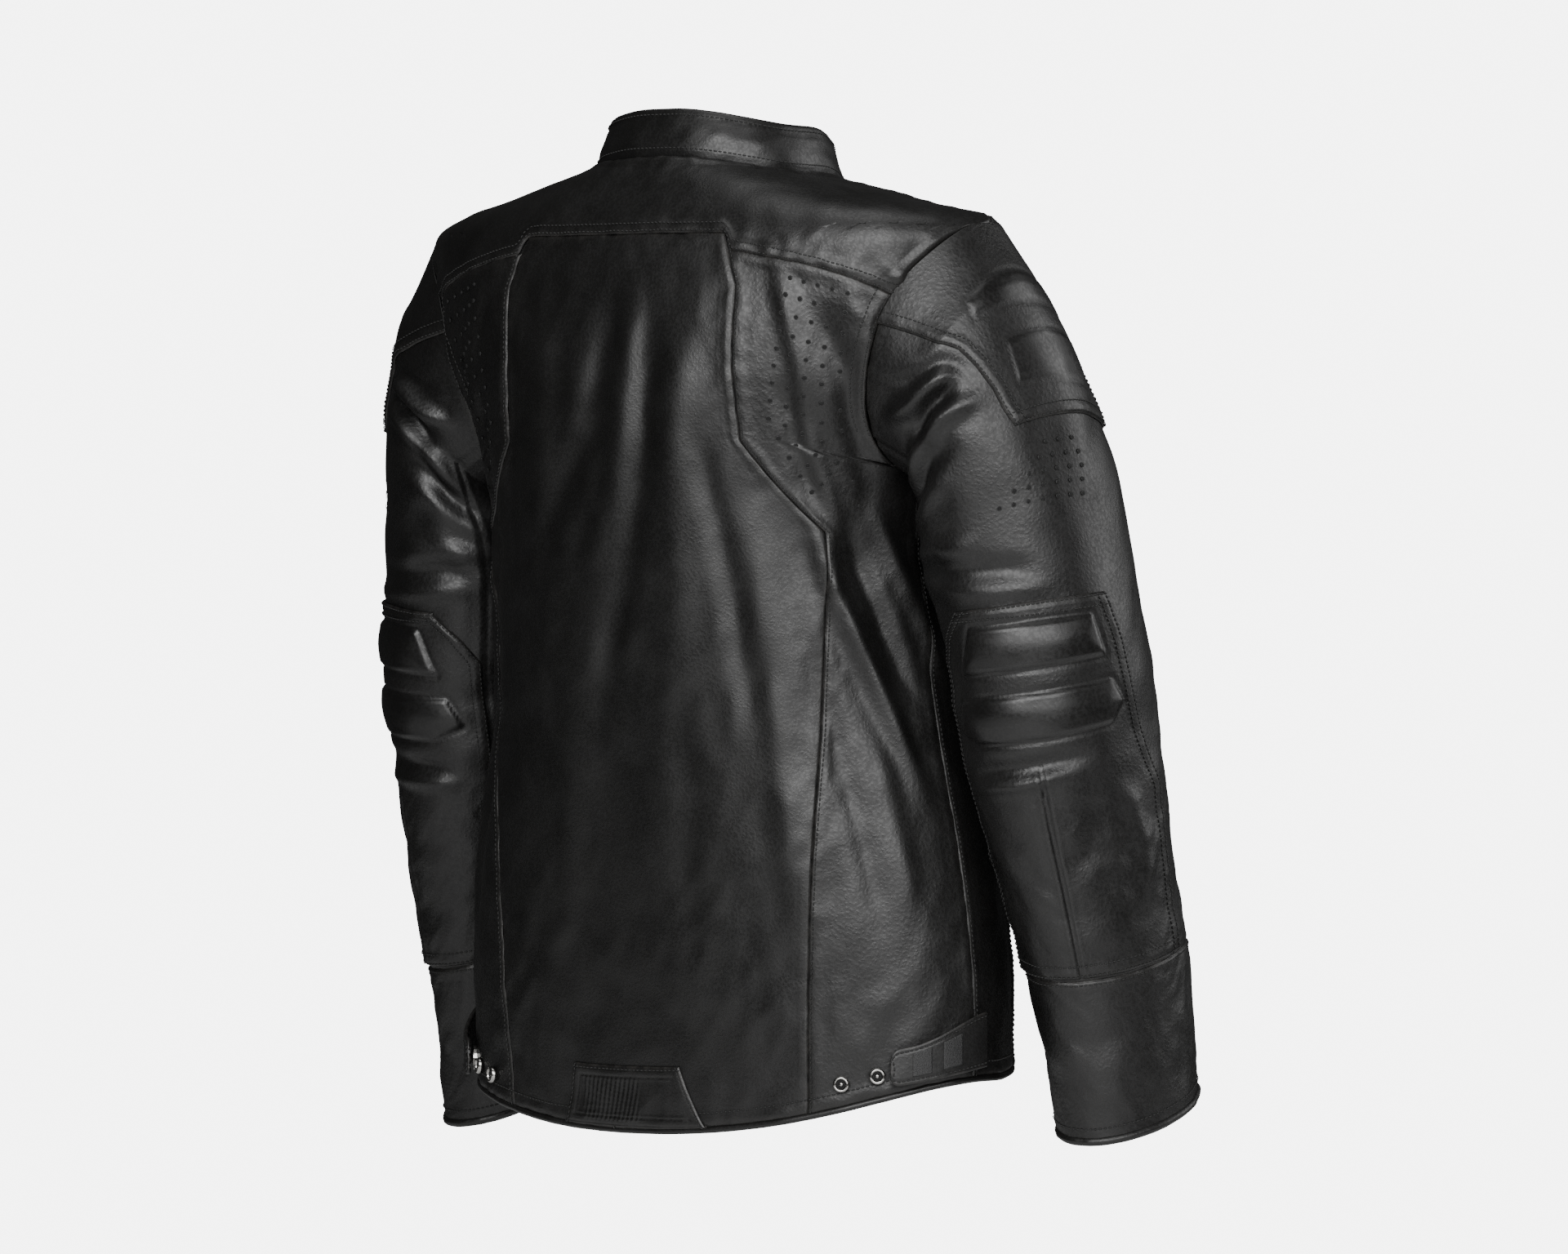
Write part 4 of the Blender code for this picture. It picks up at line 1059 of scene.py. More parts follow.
class CopyTool:
    """A Geometry Nodes group that sets copies of one small shape on points."""

    def __init__(self) -> None:
        """Writes the group once."""
        self.group = self._write()

    def _write(self) -> bpy.types.NodeTree:
        """Writes the group: copies on points, turned by the along and facing attributes."""
        group = bpy.data.node_groups.new("set_copies", "GeometryNodeTree")
        sockets = group.interface
        sockets.new_socket("Geometry", in_out="INPUT", socket_type="NodeSocketGeometry")
        sockets.new_socket("Copy", in_out="INPUT", socket_type="NodeSocketObject")
        sockets.new_socket("Material", in_out="INPUT", socket_type="NodeSocketMaterial")
        sockets.new_socket("Unevenness", in_out="INPUT", socket_type="NodeSocketFloat")
        sockets.new_socket("Seed", in_out="INPUT", socket_type="NodeSocketInt")
        sockets.new_socket("Geometry", in_out="OUTPUT", socket_type="NodeSocketGeometry")
        add, link = group.nodes.new, group.links.new
        source, result = add("NodeGroupInput"), add("NodeGroupOutput")
        copy = add("GeometryNodeObjectInfo")
        link(source.outputs["Copy"], copy.inputs["Object"])
        turns = []
        for name, axis in (("along", "X"), ("facing", "Z")):
            read = add("GeometryNodeInputNamedAttribute")
            read.data_type = "FLOAT_VECTOR"
            read.inputs["Name"].default_value = name
            turn = add("FunctionNodeAlignRotationToVector")
            turn.axis = axis
            turn.pivot_axis = "AUTO" if axis == "X" else "X"
            link(read.outputs["Attribute"], turn.inputs["Vector"])
            turns.append(turn)
        link(turns[0].outputs["Rotation"], turns[1].inputs["Rotation"])
        chance = add("FunctionNodeRandomValue")
        chance.data_type = "FLOAT"
        spread = add("ShaderNodeMath")
        spread.operation = "SUBTRACT"
        spread.inputs[0].default_value = 1.0
        link(source.outputs["Unevenness"], spread.inputs[1])
        low, high = [s for s in chance.inputs if s.name in ("Min", "Max") and s.type == "VALUE"]
        link(spread.outputs[0], low)
        high.default_value = 1.0
        link(source.outputs["Seed"], chance.inputs["Seed"])
        place = add("GeometryNodeInstanceOnPoints")
        link(source.outputs["Geometry"], place.inputs["Points"])
        link(copy.outputs["Geometry"], place.inputs["Instance"])
        link(turns[1].outputs["Rotation"], place.inputs["Rotation"])
        size = [s for s in chance.outputs if s.type == "VALUE"][0]
        link(size, place.inputs["Scale"])
        real, paint = add("GeometryNodeRealizeInstances"), add("GeometryNodeSetMaterial")
        link(place.outputs["Instances"], real.inputs["Geometry"])
        link(real.outputs["Geometry"], paint.inputs["Geometry"])
        link(source.outputs["Material"], paint.inputs["Material"])
        link(paint.outputs["Geometry"], result.inputs["Geometry"])
        return group

    def set_out(self, name: str, spots: tuple[Array, Array, Array], copy: Piece,
                material: bpy.types.Material, seed: int, unevenness: float = 0.12) -> Piece:
        """Sets copies out and returns them as one plain mesh object.

        Args:
            name: the new object's name.
            spots: places, directions along, and directions facing.
            copy: the shape that is repeated; its X lies along and its Z faces out.
            material: what the copies are made of.
            seed: picks the unevenness.
            unevenness: how much smaller than full size a copy may be.

        Returns:
            The copies as one mesh.
        """
        places, along, facing = spots
        mesh = bpy.data.meshes.new(f"{name}_spots")
        mesh.from_pydata(places.tolist(), [], [])
        for key, vectors in (("along", along), ("facing", facing)):
            kept = mesh.attributes.new(key, "FLOAT_VECTOR", "POINT")
            kept.data.foreach_set("vector", vectors.astype(np.float32).ravel())
        carrier = bpy.data.objects.new(f"{name}_spots", mesh)
        bpy.context.scene.collection.objects.link(carrier)
        modifier = carrier.modifiers.new("copies", "NODES")
        modifier.node_group = self.group
        names = {s.name: s.identifier for s in self.group.interface.items_tree if s.in_out == "INPUT"}
        for key, value in (
            ("Copy", copy), ("Material", material), ("Unevenness", unevenness), ("Seed", seed)
        ):
            modifier[names[key]] = value
        graph = bpy.context.evaluated_depsgraph_get()
        plain = bpy.data.meshes.new_from_object(carrier.evaluated_get(graph))
        bpy.data.objects.remove(carrier)
        plain.name = name
        plain.shade_smooth()
        made = bpy.data.objects.new(name, plain)
        bpy.context.scene.collection.objects.link(made)
        return made


def spots_along(lines: Lines, pitch: float) -> tuple[Array, Array, Array]:
    """Evenly spaced spots along lines, each with the way along and the way it faces."""
    places, ways, faces = [], [], []
    for points, facing in lines:
        run = distances(points)
        count = int(run[-1] / pitch)
        if count < 2:
            continue
        at = (np.arange(count) + 0.5) * run[-1] / count
        places.append(read_at(at, run, points))
        ways.append(unit(read_at(at + pitch / 2, run, points) - read_at(at - pitch / 2, run, points)))
        faces.append(unit(read_at(at, run, facing)))
    return np.concatenate(places), np.concatenate(ways), np.concatenate(faces)


class Repeats:
    """The small shapes that are repeated: stitches, punched holes and zip teeth."""

    STITCH_LENGTH, STITCH_WIDTH = 0.0029, 0.00050
    HOLE_RADIUS = 0.00155
    TOOTH = (0.0012, 0.0030, 0.0024)

    def __init__(self) -> None:
        """Makes the hidden shapes and the tool that copies them."""
        self.tool = CopyTool()
        self.stitch = self._shape("stitch", self._stitch())
        # Each punched hole is a thin disc that carries the painted shade of the hole's depth.
        self.hole = self._shape("punch", self._disc(self.HOLE_RADIUS, 0.00012))
        self.rim = self._shape("punch_rim", self._rim())
        self.tooth = self._shape("tooth", self._tooth())

    @staticmethod
    def _shape(name: str, parts: tuple[list, list]) -> Piece:
        """A hidden object to copy."""
        mesh = bpy.data.meshes.new(name)
        mesh.from_pydata(parts[0], [], parts[1])
        return bpy.data.objects.new(name, mesh)

    def _stitch(self) -> tuple[list, list]:
        """A short thread that dips into the leather at both ends."""
        stations = (
            (-0.5, 0.35, -0.9), (-0.28, 1.0, 0.25), (0.0, 1.1, 0.45), (0.28, 1.0, 0.25), (0.5, 0.35, -0.9)
        )
        sides = 6
        points = []
        for along, wide, tall in stations:
            for k in range(sides):
                turn = 2 * math.pi * k / sides
                radius = self.STITCH_WIDTH * wide
                y, z = radius * math.cos(turn), radius * math.sin(turn) + tall * self.STITCH_WIDTH
                points.append((along * self.STITCH_LENGTH, y, z))
        faces = [f[::-1] for f in grid_faces(len(stations), sides, True)]
        last = (len(stations) - 1) * sides
        return points, [*faces, tuple(range(sides)), tuple(range(last, last + sides))[::-1]]

    @staticmethod
    def _disc(radius: float, tall: float) -> tuple[list, list]:
        """A thin round disc."""
        sides = 12
        turns = [2 * math.pi * k / sides for k in range(sides)]
        points = [(radius * math.cos(t), radius * math.sin(t), z) for z in (-tall, tall) for t in turns]
        faces = grid_faces(2, sides, True)
        return points, faces + capped(2, sides)

    def _rim(self) -> tuple[list, list]:
        """The soft lip round a punched hole."""
        sides, radius = 12, self.HOLE_RADIUS
        section = ((1.30, -0.0002), (1.22, 0.00004), (1.10, 0.00010), (0.98, 0.00004), (0.98, -0.0002))
        points = [
            (
                radius * r * math.cos(2 * math.pi * k / sides),
                radius * r * math.sin(2 * math.pi * k / sides), z
            )
            for r, z in section
            for k in range(sides)
        ]
        faces = grid_faces(len(section), sides, True)
        return points, faces + joined(len(section), sides)

    def _tooth(self) -> tuple[list, list]:
        """A moulded zip tooth with a rounded nose."""
        long, wide, tall = (s / 2 for s in self.TOOTH)
        outline = [
            (-long, -wide), (long, -wide), (long, wide * 0.6), (long * 0.5, wide), (-long * 0.5, wide),
            (-long, wide * 0.6)
        ]
        points = [(x, y, z) for z in (-tall, tall) for x, y in outline]
        count = len(outline)
        return points, grid_faces(2, count, True) + capped(2, count)


# ---------------------------------------------------------------- how pieces move


@dataclass(frozen=True)
class Bend:
    """Where cloth turns from one body to the next: two points, in the left sleeve's place."""

    first: str
    second: str
    start: tuple[float, float, float]
    end: tuple[float, float, float]


SHOULDER_BEND = Bend("root", "upper_arm", (0.213, 0.0, -0.200), (0.2346, 0.0, -0.3426))
ELBOW_BEND = Bend("upper_arm", "forearm", (0.235, 0.0, -0.350), (0.259, 0.0, -0.508))


def bend(piece: Piece, how: Bend, side: Side) -> None:
    """Applies a piece's modifiers and bakes its transform; the piece is not made to follow the sleeve joint.
    """
    start, end = ((side.value * x, y, z) for x, y, z in (how.start, how.end))
    settle(piece)
    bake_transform(piece)


def settle(piece: Piece) -> None:
    """Applies a piece's modifiers, so that the mesh is final."""
    if not piece.modifiers:
        return
    graph = bpy.context.evaluated_depsgraph_get()
    plain = bpy.data.meshes.new_from_object(piece.evaluated_get(graph))
    piece.modifiers.clear()
    piece.data = plain


@dataclass
class Bench:
    """What every sub-assembly needs: the forms, the tools and the finishes."""

    body: Body
    arms: dict[Side, Arm]
    shop: Shop
    repeats: Repeats
    finishes: Wardrobe
    seams: dict[str, Lines] = field(default_factory=dict)

    def sew(self, group: str, piece: Sheet, *sides: str, insets: Sequence[float] = STITCH_INSETS) -> None:
        """Plans rows of stitches beside some edges of a piece."""
        for side in sides:
            for inset in insets:
                self.seams.setdefault(group, []).append(piece.line(side, inset))

    def stitches(self, group: str) -> Piece:
        """Makes a group's planned stitches."""
        spots = spots_along(self.seams[group], STITCH_PITCH)
        name = f"stitches_{group}"
        made = self.repeats.tool.set_out(name, spots, self.repeats.stitch, self.finishes.thread, len(name))
        return made


@dataclass
class Assembly:
    """Pieces made together, each with its finish and the body it moves with."""

    bench: Bench
    kept: list[tuple[Piece, Slot | None, str]] = field(default_factory=list, init=False)

    def keep(self, piece: Piece, slot: Slot | None, body: str, *nodes: str) -> Piece:
        """Keeps a piece, in place of the CAD nodes that it stands for.

        Args:
            piece: what was made.
            slot: its finish, or None where it already has one.
            body: the body that carries it, or an empty word for a CAD solid that already rides.
            nodes: names of the CAD nodes.

        Returns:
            The same piece.
        """
        if nodes:
            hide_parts(*nodes)
        self.kept.append((piece, slot, body))
        return piece

    def dress(self) -> None:
        """Finishes, and what each piece moves with."""
        for piece, slot, body in self.kept:
            if slot:
                self.bench.finishes.dress(piece, slot)
            if body:
                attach(piece, body)


# ---------------------------------------------------------------- the back

BACK_FOLDS = (
    Fold(((8.4, 0), (7.3, 0), (6.1, 3), (5.6, 7), (4.4, 23)), -0.0038, 0.016),
    Fold(((8.5, -6), (7.0, -8), (5.9, -8), (4.9, -5), (3.5, 2), (2.4, 6)), -0.0032, 0.014),
    Fold(((6.4, -20), (5.5, -24), (4.4, -28), (3.5, -29), (3.0, -29)), -0.0028, 0.012),
    Fold(((8.5, -3), (7.0, -4), (5.9, -3), (4.9, 1), (3.8, 9)), 0.0025, 0.014),
    Fold(((8.3, -14), (7.0, -15), (5.5, -16), (4.0, -14), (2.6, -8)), 0.0025, 0.018),
    Fold(((5.9, -33), (5.0, -36), (3.8, -37), (2.4, -36), (1.2, -34)), 0.0031, 0.017),
    Fold(((8.3, 12), (7.0, 14), (5.5, 19), (4.0, 30)), 0.0022, 0.018),
    Fold(((8.0, 24), (6.8, 26), (5.6, 33), (4.2, 42)), -0.0022, 0.015),
    Fold(((4.4, 5), (3.2, 10), (2.0, 14), (0.9, 16)), 0.0019, 0.020),
    Fold(((3.4, -14), (2.4, -12), (1.2, -10)), -0.0016, 0.016),
)
SIDE_FOLDS = (
    Fold(((8.1, -36), (7.5, -45), (7.0, -53), (6.5, -60), (6.1, -65), (5.2, -73)), -0.0043, 0.013, 0.35),
    Fold(((8.2, -46), (7.6, -54), (7.0, -62), (6.5, -68)), 0.0034, 0.012, 0.3),
    Fold(((6.9, -37), (6.3, -45), (5.8, -50), (5.1, -55)), -0.0029, 0.010, 0.35),
    Fold(((6.7, -43), (6.1, -50), (5.5, -56), (4.6, -60)), 0.0026, 0.010, 0.3),
    Fold(((5.9, -49), (5.1, -52), (4.3, -57), (3.5, -65), (2.8, -72), (2.3, -77)), 0.0063, 0.011, 0.45),
    Fold(((5.4, -60), (4.6, -65), (3.8, -72), (3.0, -80)), -0.0051, 0.011, 0.3),
    Fold(((8.4, -52), (8.1, -62), (7.6, -67), (7.1, -69)), 0.0030, 0.008, 0.4),
    Fold(((8.5, -30), (8.0, -33), (7.4, -38), (6.8, -44), (6.3, -48)), 0.0030, 0.010, 0.4),
    Fold(((5.7, -68), (4.9, -74), (4.1, -82), (3.3, -92)), 0.0047, 0.011, 0.4),
    Fold(((5.6, -80), (4.8, -86), (4.0, -94), (3.0, -104)), -0.0043, 0.012, 0.3),
    Fold(((4.2, -47), (3.2, -50), (2.2, -54), (1.2, -56)), -0.0031, 0.012, 0.3),
    Fold(((3.2, -62), (2.3, -64), (1.3, -66)), 0.0026, 0.012, 0.3),
    Fold(((5.2, -88), (4.4, -100), (3.6, -112)), 0.0043, 0.012, 0.3),
)


def mirrored(folds: Iterable[Fold], scale: float) -> tuple[Fold, ...]:
    """The same folds on the other side, a little different in height."""
    return tuple(
        Fold(tuple((place, -angle) for place, angle in fold.points), fold.height * scale, fold.width,
             fold.shoulder, fold.fade)
        for fold in folds
    )


@dataclass
class Back(Assembly):
    """Centre panel, perforated side panels and yoke."""

    hole_rows: int = 13
    hole_step: float = 0.0095
    row_step: float = 0.0128

    def seam_angle(self, place: Array) -> Array:
        """The angle of the seam beside the centre panel."""
        half = np.interp(place, np.arange(len(BACK_SEAM)), BACK_SEAM)
        return angle_at_width(place, half)

    def build(self) -> None:
        """Makes the panels, their topstitching and the punched holes."""
        self._centre()
        self._yoke()
        for side in Side:
            self._side(side)
            self._holes(side)

    def _centre(self) -> None:
        """The big panel down the middle, its seams lapped over its neighbours."""
        bench = self.bench
        rows = shares(BACK_LENGTH, BODY_STEP) * YOKE_MIDDLE
        columns = shares(0.28, BODY_STEP) * 2 - 1
        style = SeamStyle(dip=0.0016, raised=0.0005, pucker=0.0007)
        sheet = lay(
            "back_panel_skin", bench.body, rows, columns, lambda t, r: (r, t * self.seam_angle(r)), style
        )
        self.keep(bench.shop.sheet(sheet), Slot.SMOOTH, "root", "back_panel")
        bench.sew("body", sheet, "low", insets=(0.0115,))

    def _side(self, side: Side) -> None:
        """A side panel between the centre seam, the side seam and the armhole."""
        bench, body = self.bench, self.bench.body
        armpit = body.armpit()

        def where(t: Array, r: Array) -> tuple[Array, Array]:
            """The place and angle for a share across and a share up."""
            top = YOKE_STEP + (YOKE_ARMHOLE - YOKE_STEP) * t
            low_part = np.clip(r / 0.68, 0, 1) * armpit
            place = np.where(r <= 0.68, low_part, armpit + (top - armpit) * (r - 0.68) / 0.32)
            near = self.seam_angle(place)
            far = body.armhole_angle(place, body.side_seam(place))
            return place, side.value * (near + (far - near) * t)

        rows, columns = shares(0.62, BODY_STEP), shares(0.13, 0.0028)
        sheet = lay(f"back_side_skin_{side.tag}", body, rows, columns, where, TOP_SEAM)
        self.keep(bench.shop.sheet(sheet), Slot.LEATHER, "root", f"back_side_panel_{side.tag}")
        bench.sew("body", sheet, "start", insets=(0.0030,))
        upper = Sheet(
            sheet.name, *(grid[int(len(rows) * 0.72):] for grid in (sheet.points, sheet.facing, sheet.edge))
        )
        bench.sew("body", upper, "end", insets=(0.0030, 0.0125))
        bench.sew("body", sheet, "low", insets=(0.0115,))

    def _yoke(self) -> None:
        """One piece over the back of both shoulders, with a heavy topstitched lower edge."""
        bench, body = self.bench, self.bench.body

        def where(t: Array, r: Array) -> tuple[Array, Array]:
            """The place and angle for a share across and a share up."""
            share = np.clip((np.abs(t) - YOKE_CORNER) / (1 - YOKE_CORNER), 0, 1)
            drop = smoothstep(np.abs(t), YOKE_CORNER - 0.004, YOKE_CORNER + 0.036)
            foot = YOKE_MIDDLE + (YOKE_STEP - YOKE_MIDDLE) * drop + (YOKE_ARMHOLE - YOKE_STEP) * share
            place = foot + (NECK - foot) * r
            corner = self.seam_angle(np.full_like(place, YOKE_MIDDLE))
            edge = body.shoulder_seam(place)
            outer = corner + (edge - corner) * share
            return place, np.where(np.abs(t) <= YOKE_CORNER, corner * t / YOKE_CORNER, np.sign(t) * outer)

        rows, columns = shares(0.15, 0.0030), shares(0.55, BODY_STEP) * 2 - 1
        style = SeamStyle(dip=0.0018, raised=0.0013, pucker=0.0016)
        sheet = lay("yoke_skin", body, rows, columns, where, style)
        self.keep(bench.shop.sheet(sheet), Slot.SMOOTH, "root", "back_yoke")
        bench.sew("body", sheet, "low")

    def _holes(self, side: Side) -> None:
        """Rows of punched holes, fewer in each row lower down."""
        body = self.bench.body
        levels, angles = [], []
        top = -0.092
        for row in range(self.hole_rows):
            z = top - self.row_step * row
            level = np.interp(z, [-0.244, -0.195, -0.129, -0.092], [5.5, 6.3, 7.4, 8.1])
            start = np.interp(row, [0, 8, 12], [0.144, 0.127, 0.146])
            for hole in range(5 - max(0, row - 7) // 2):
                place = level - 0.05 * hole
                levels.append(place)
                angles.append(side.value * float(angle_at_width(place, start + self.hole_step * hole)))
        spots = spots_on(body, np.array(levels), np.array(angles))
        for piece in punch(self.bench, f"back_holes_{side.tag}", spots):
            self.keep(piece, None, "root")


def spots_on(surface: Surface, place: Array, angle: Array) -> tuple[Array, Array, Array]:
    """Spots on a surface, with the way up it and the way it faces."""
    facing = surface.normal(place, angle)
    up = np.tile([0.0, 0.0, 1.0], (len(facing), 1))
    return surface.skin(place, angle, 0.0006), unit(np.cross(up, facing)), facing


def punch(bench: Bench, name: str, spots: tuple[Array, Array, Array]) -> list[Piece]:
    """Punched holes: near-black discs that paint the shade inside each hole, and the lips round them."""
    tool, finishes, repeats = bench.repeats.tool, bench.finishes, bench.repeats
    holes = tool.set_out(name, spots, repeats.hole, finishes.hole, 1, 0.15)
    rims = tool.set_out(f"{name}_lips", spots, repeats.rim, finishes.made[Slot.LEATHER], 1, 0.15)
    return [holes, rims]


# ---------------------------------------------------------------- the front


@dataclass
class Front(Assembly):
    """Front panels, and the side panels under the arms."""

    def build(self) -> None:
        """Makes the panels and their topstitching."""
        bench, body = self.bench, self.bench.body
        armpit = body.armpit()
        for side in Side:

            def side_where(t: Array, r: Array, side: Side = side) -> tuple[Array, Array]:
                """The level and angle of a place on the side panel."""
                place = r * armpit
                near = body.side_seam(place)
                return place, side.value * (near + (FRONT_SEAM - near) * t)

            def front_where(t: Array, r: Array, side: Side = side) -> tuple[Array, Array]:
                """The level and angle of a place on the front panel."""
                place = np.where(r < 0.6, r / 0.6 * armpit, armpit + (NECK - armpit) * (r - 0.6) / 0.4)
                near = np.where(place <= armpit, FRONT_SEAM, body.shoulder_seam(place, front=True))
                far = angle_at_width(place, np.full_like(place, CLOSURE_EDGE), front=True)
                return place, side.value * (near + (far - near) * t)

            rows = shares(0.45, BODY_STEP)
            sheet = lay(f"side_skin_{side.tag}", body, rows, shares(0.12, BODY_STEP), side_where, FLAT_SEAM)
            self.keep(bench.shop.sheet(sheet), Slot.LEATHER, "root", f"side_panel_{side.tag}")
            bench.sew("body", sheet, "start", insets=(0.0030,))
            bench.sew("body", sheet, "low", insets=(0.0115,))
            rows = shares(0.66, BODY_STEP)
            sheet = lay(
                f"front_skin_{side.tag}", body, rows, shares(0.20, BODY_STEP), front_where, TOP_SEAM
            )
            self.keep(bench.shop.sheet(sheet), Slot.LEATHER, "root", f"front_panel_{side.tag}")
            bench.sew("body", sheet, "end")
            bench.sew("body", sheet, "start", "low", insets=(0.0030,))


# ---------------------------------------------------------------- collar


@dataclass
class Collar(Assembly):
    """Stand-up collar with a rolled top and the hanger loop inside it; the snap tab in front is made by
    collar_tab.
    """

    tall: float = 0.034
    thick: float = 0.0045
    lean: float = 0.010

    FOLDS = (
        (-0.9, 0.45, 0.0016), (0.5, 0.62, -0.0014), (1.6, 0.4, 0.0015),
        (-2.0, 0.5, -0.0014), (-0.2, 0.35, -0.0010),
    )

    def section(self) -> list[tuple[float, float]]:
        """(share of the height, metres inwards) round the collar's section."""
        half = self.thick / 2
        outside = [(-0.14, 0.0022), *((s, 0.0) for s in np.linspace(0, 0.94, 14))]
        top = []
        for turn in np.linspace(0, math.pi, 8)[1:-1]:
            top.append((0.94 + 0.06 * math.sin(turn), half - half * math.cos(turn)))
        inside = [*((s, self.thick) for s in np.linspace(0.94, 0, 10)), (-0.14, self.thick)]
        return outside + top + inside

    def build(self) -> None:
        """Makes the collar, its stitching and the loop."""
        bench, body = self.bench, self.bench.body
        reach = float(angle_at_width(NECK, CLOSURE_EDGE, front=True))
        angles = np.linspace(-reach, reach, 200)
        foot = body.skin(np.full_like(angles, NECK), angles)
        middle = np.array([0, 0.02, 0]) + foot * (0, 0, 1)
        out = unit(foot - middle)
        grid, facing = [], []
        for share, inwards in self.section():
            bulge = 0.0016 * math.sin(math.pi * min(share, 1.0))
            waves = sum(
                tall * hump(angles, at, 0.55) * math.exp(-(((share - up) / 0.2) ** 2))
                for at, up, tall in self.FOLDS
            )
            puckers = perlin(foot * 70 + share * 2, 5) * 0.0006
            groove = -0.0007 * math.exp(-(((share - 0.80) / 0.05) ** 2)) - 0.0014 * math.exp(
                -((share / 0.06) ** 2)
            )
            shift = -self.lean * share - inwards + bulge + waves + puckers + groove
            grid.append(foot + out * shift[:, None] + [0, 0, 0.0012 + self.tall * share])
            facing.append(out)
        points, facing = np.array(grid), np.array(facing)
        count, width = points.shape[:2]
        faces = grid_faces(count, width, False)
        last = (count - 1) * width
        faces += [(last + c, last + c + 1, c + 1, c) for c in range(width - 1)]
        ends = [
            tuple(r * width for r in range(count)), tuple(r * width + width - 1 for r in range(count))[::-1]
        ]
        collar = bench.shop.mesh("collar_skin", points, faces + ends)
        recalculate(collar)
        self.keep(collar, Slot.SMOOTH, "root", "collar")
        for row in (3, 13):
            bench.seams.setdefault("body", []).append((points[row] + facing[row] * 0.0003, facing[row]))
        self._loop()

    def _loop(self) -> None:
        """The cord that the jacket hangs by."""
        low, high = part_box("hanger_loop")
        turn = np.linspace(0, math.pi, 40)
        drop = (high.z - low.z) - 0.004
        deep = (high.y - low.y) - 0.004
        x = (high.x - low.x - 0.004) / 2 * np.cos(turn)
        y = high.y - 0.002 - deep * np.sin(turn)
        z = high.z - 0.002 - drop * np.sin(turn)
        loop = self.bench.shop.sweep("hanger_cord", np.stack([x, y, z], -1), 0.0019)
        self.keep(loop, Slot.LINING, "root", "hanger_loop")


# ---------------------------------------------------------------- snaps and tabs


def ring_profile(radius: float, tall: float) -> list[tuple[float, float]]:
    """The section of a ring snap: a rolled ring round a dish with a small post."""
    return [
        (0.0002, tall * 0.50), (radius * 0.16, tall * 0.48), (radius * 0.22, tall * 0.35), (
            radius * 0.24, -0.0002
        ),
        (radius * 0.58, -0.0002), (radius * 0.62, tall * 0.75), (radius * 0.70, tall), (
            radius * 0.82, tall * 0.98
        ),
        (radius * 0.93, tall * 0.72), (radius, tall * 0.25), (radius, -0.0006),
    ]


@dataclass
class Tab:
    """A snap tab that lies along the body: its line, its heights and the body that carries it."""

    bench: Bench
    name: str
    carrier: str
    line: Array
    facing: Array
    seam_half: float
    end_half: float
    seam_rise: float = 0.0
    stripes: bool = False
    pieces: dict[str, Piece] = field(default_factory=dict)

    def build(self) -> None:
        """Makes the tab with a round free end, its stitches and stripes."""
        bench = self.bench
        run = distances(self.line)
        long = run[-1]
        along, across = shares(long, 0.0012), shares(2 * self.end_half, 0.0012) * 2 - 1
        places, faces = read_at(along * long, run, self.line), unit(read_at(along * long, run, self.facing))
        corner = 0.008
        half = self.seam_half + (self.end_half - self.seam_half) * smoothstep(along, 0, 0.85)
        past = np.clip((along * long - (long - corner)) / corner, 0, 1)
        half = half - corner * (1 - np.sqrt(np.maximum(1 - past**2, 0.02)))
        rise = self.seam_rise * (1 - smoothstep(along, 0, 0.8))
        tall = across[None, :] * half[:, None] + rise[:, None]
        points = places[:, None] + tall[..., None] * np.array([0, 0, 1.0])
        edge = Edges(start=True, end=True, low=False, high=True).distance(points)
        lift = 0.0006 * smoothstep(edge, 0.0, 0.0016) - 0.0004 * hump(edge, 0.0032, 0.0008)
        lift = lift + perlin(points * 60, 4) * 0.0004
        facing = np.repeat(faces[:, None], len(across), axis=1)
        sheet = Sheet(
            f"{self.name}_skin", points + facing * lift[..., None], facing, np.exp(-edge / 0.0022)
        )
        tab = bench.shop.sheet(sheet, 0.0026)
        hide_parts(self.name)
        self.pieces["tab"] = tab
        lines: Lines = [sheet.line(side, 0.0032) for side in ("start", "end", "high")]
        spots = spots_along(lines, STITCH_PITCH)
        thread = bench.repeats.tool.set_out(
            f"{self.name}_stitches", spots, bench.repeats.stitch, bench.finishes.thread, 5
        )
        self.pieces["thread"] = thread
        if self.stripes:
            self._stripes(sheet, along)

    def _stripes(self, sheet: Sheet, along: Array) -> None:
        """Two woven stripes sewn across the tab."""
        for number, (low, high) in enumerate(((0.30, 0.50), (0.60, 0.80))):
            rows = np.flatnonzero((along >= low) & (along <= high))
            inner = slice(6, -6)
            points = sheet.points[rows][:, inner] + sheet.facing[rows][:, inner] * 0.00045
            stripe = Sheet(
                f"{self.name}_stripe_{number + 1}", points, sheet.facing[rows][:, inner],
                sheet.edge[rows][:, inner]
            )
            self.pieces[f"stripe_{number}"] = self.bench.shop.sheet(stripe, 0.0004)

    def dress(self) -> None:
        """Finishes, and the body each piece moves with."""
        finishes = self.bench.finishes
        for key, piece in self.pieces.items():
            if key == "tab":
                finishes.dress(piece, Slot.SMOOTH)
            elif key != "thread":
                finishes.dress(piece, Slot.SMOOTH, finishes.stripe)
            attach(piece, self.carrier)


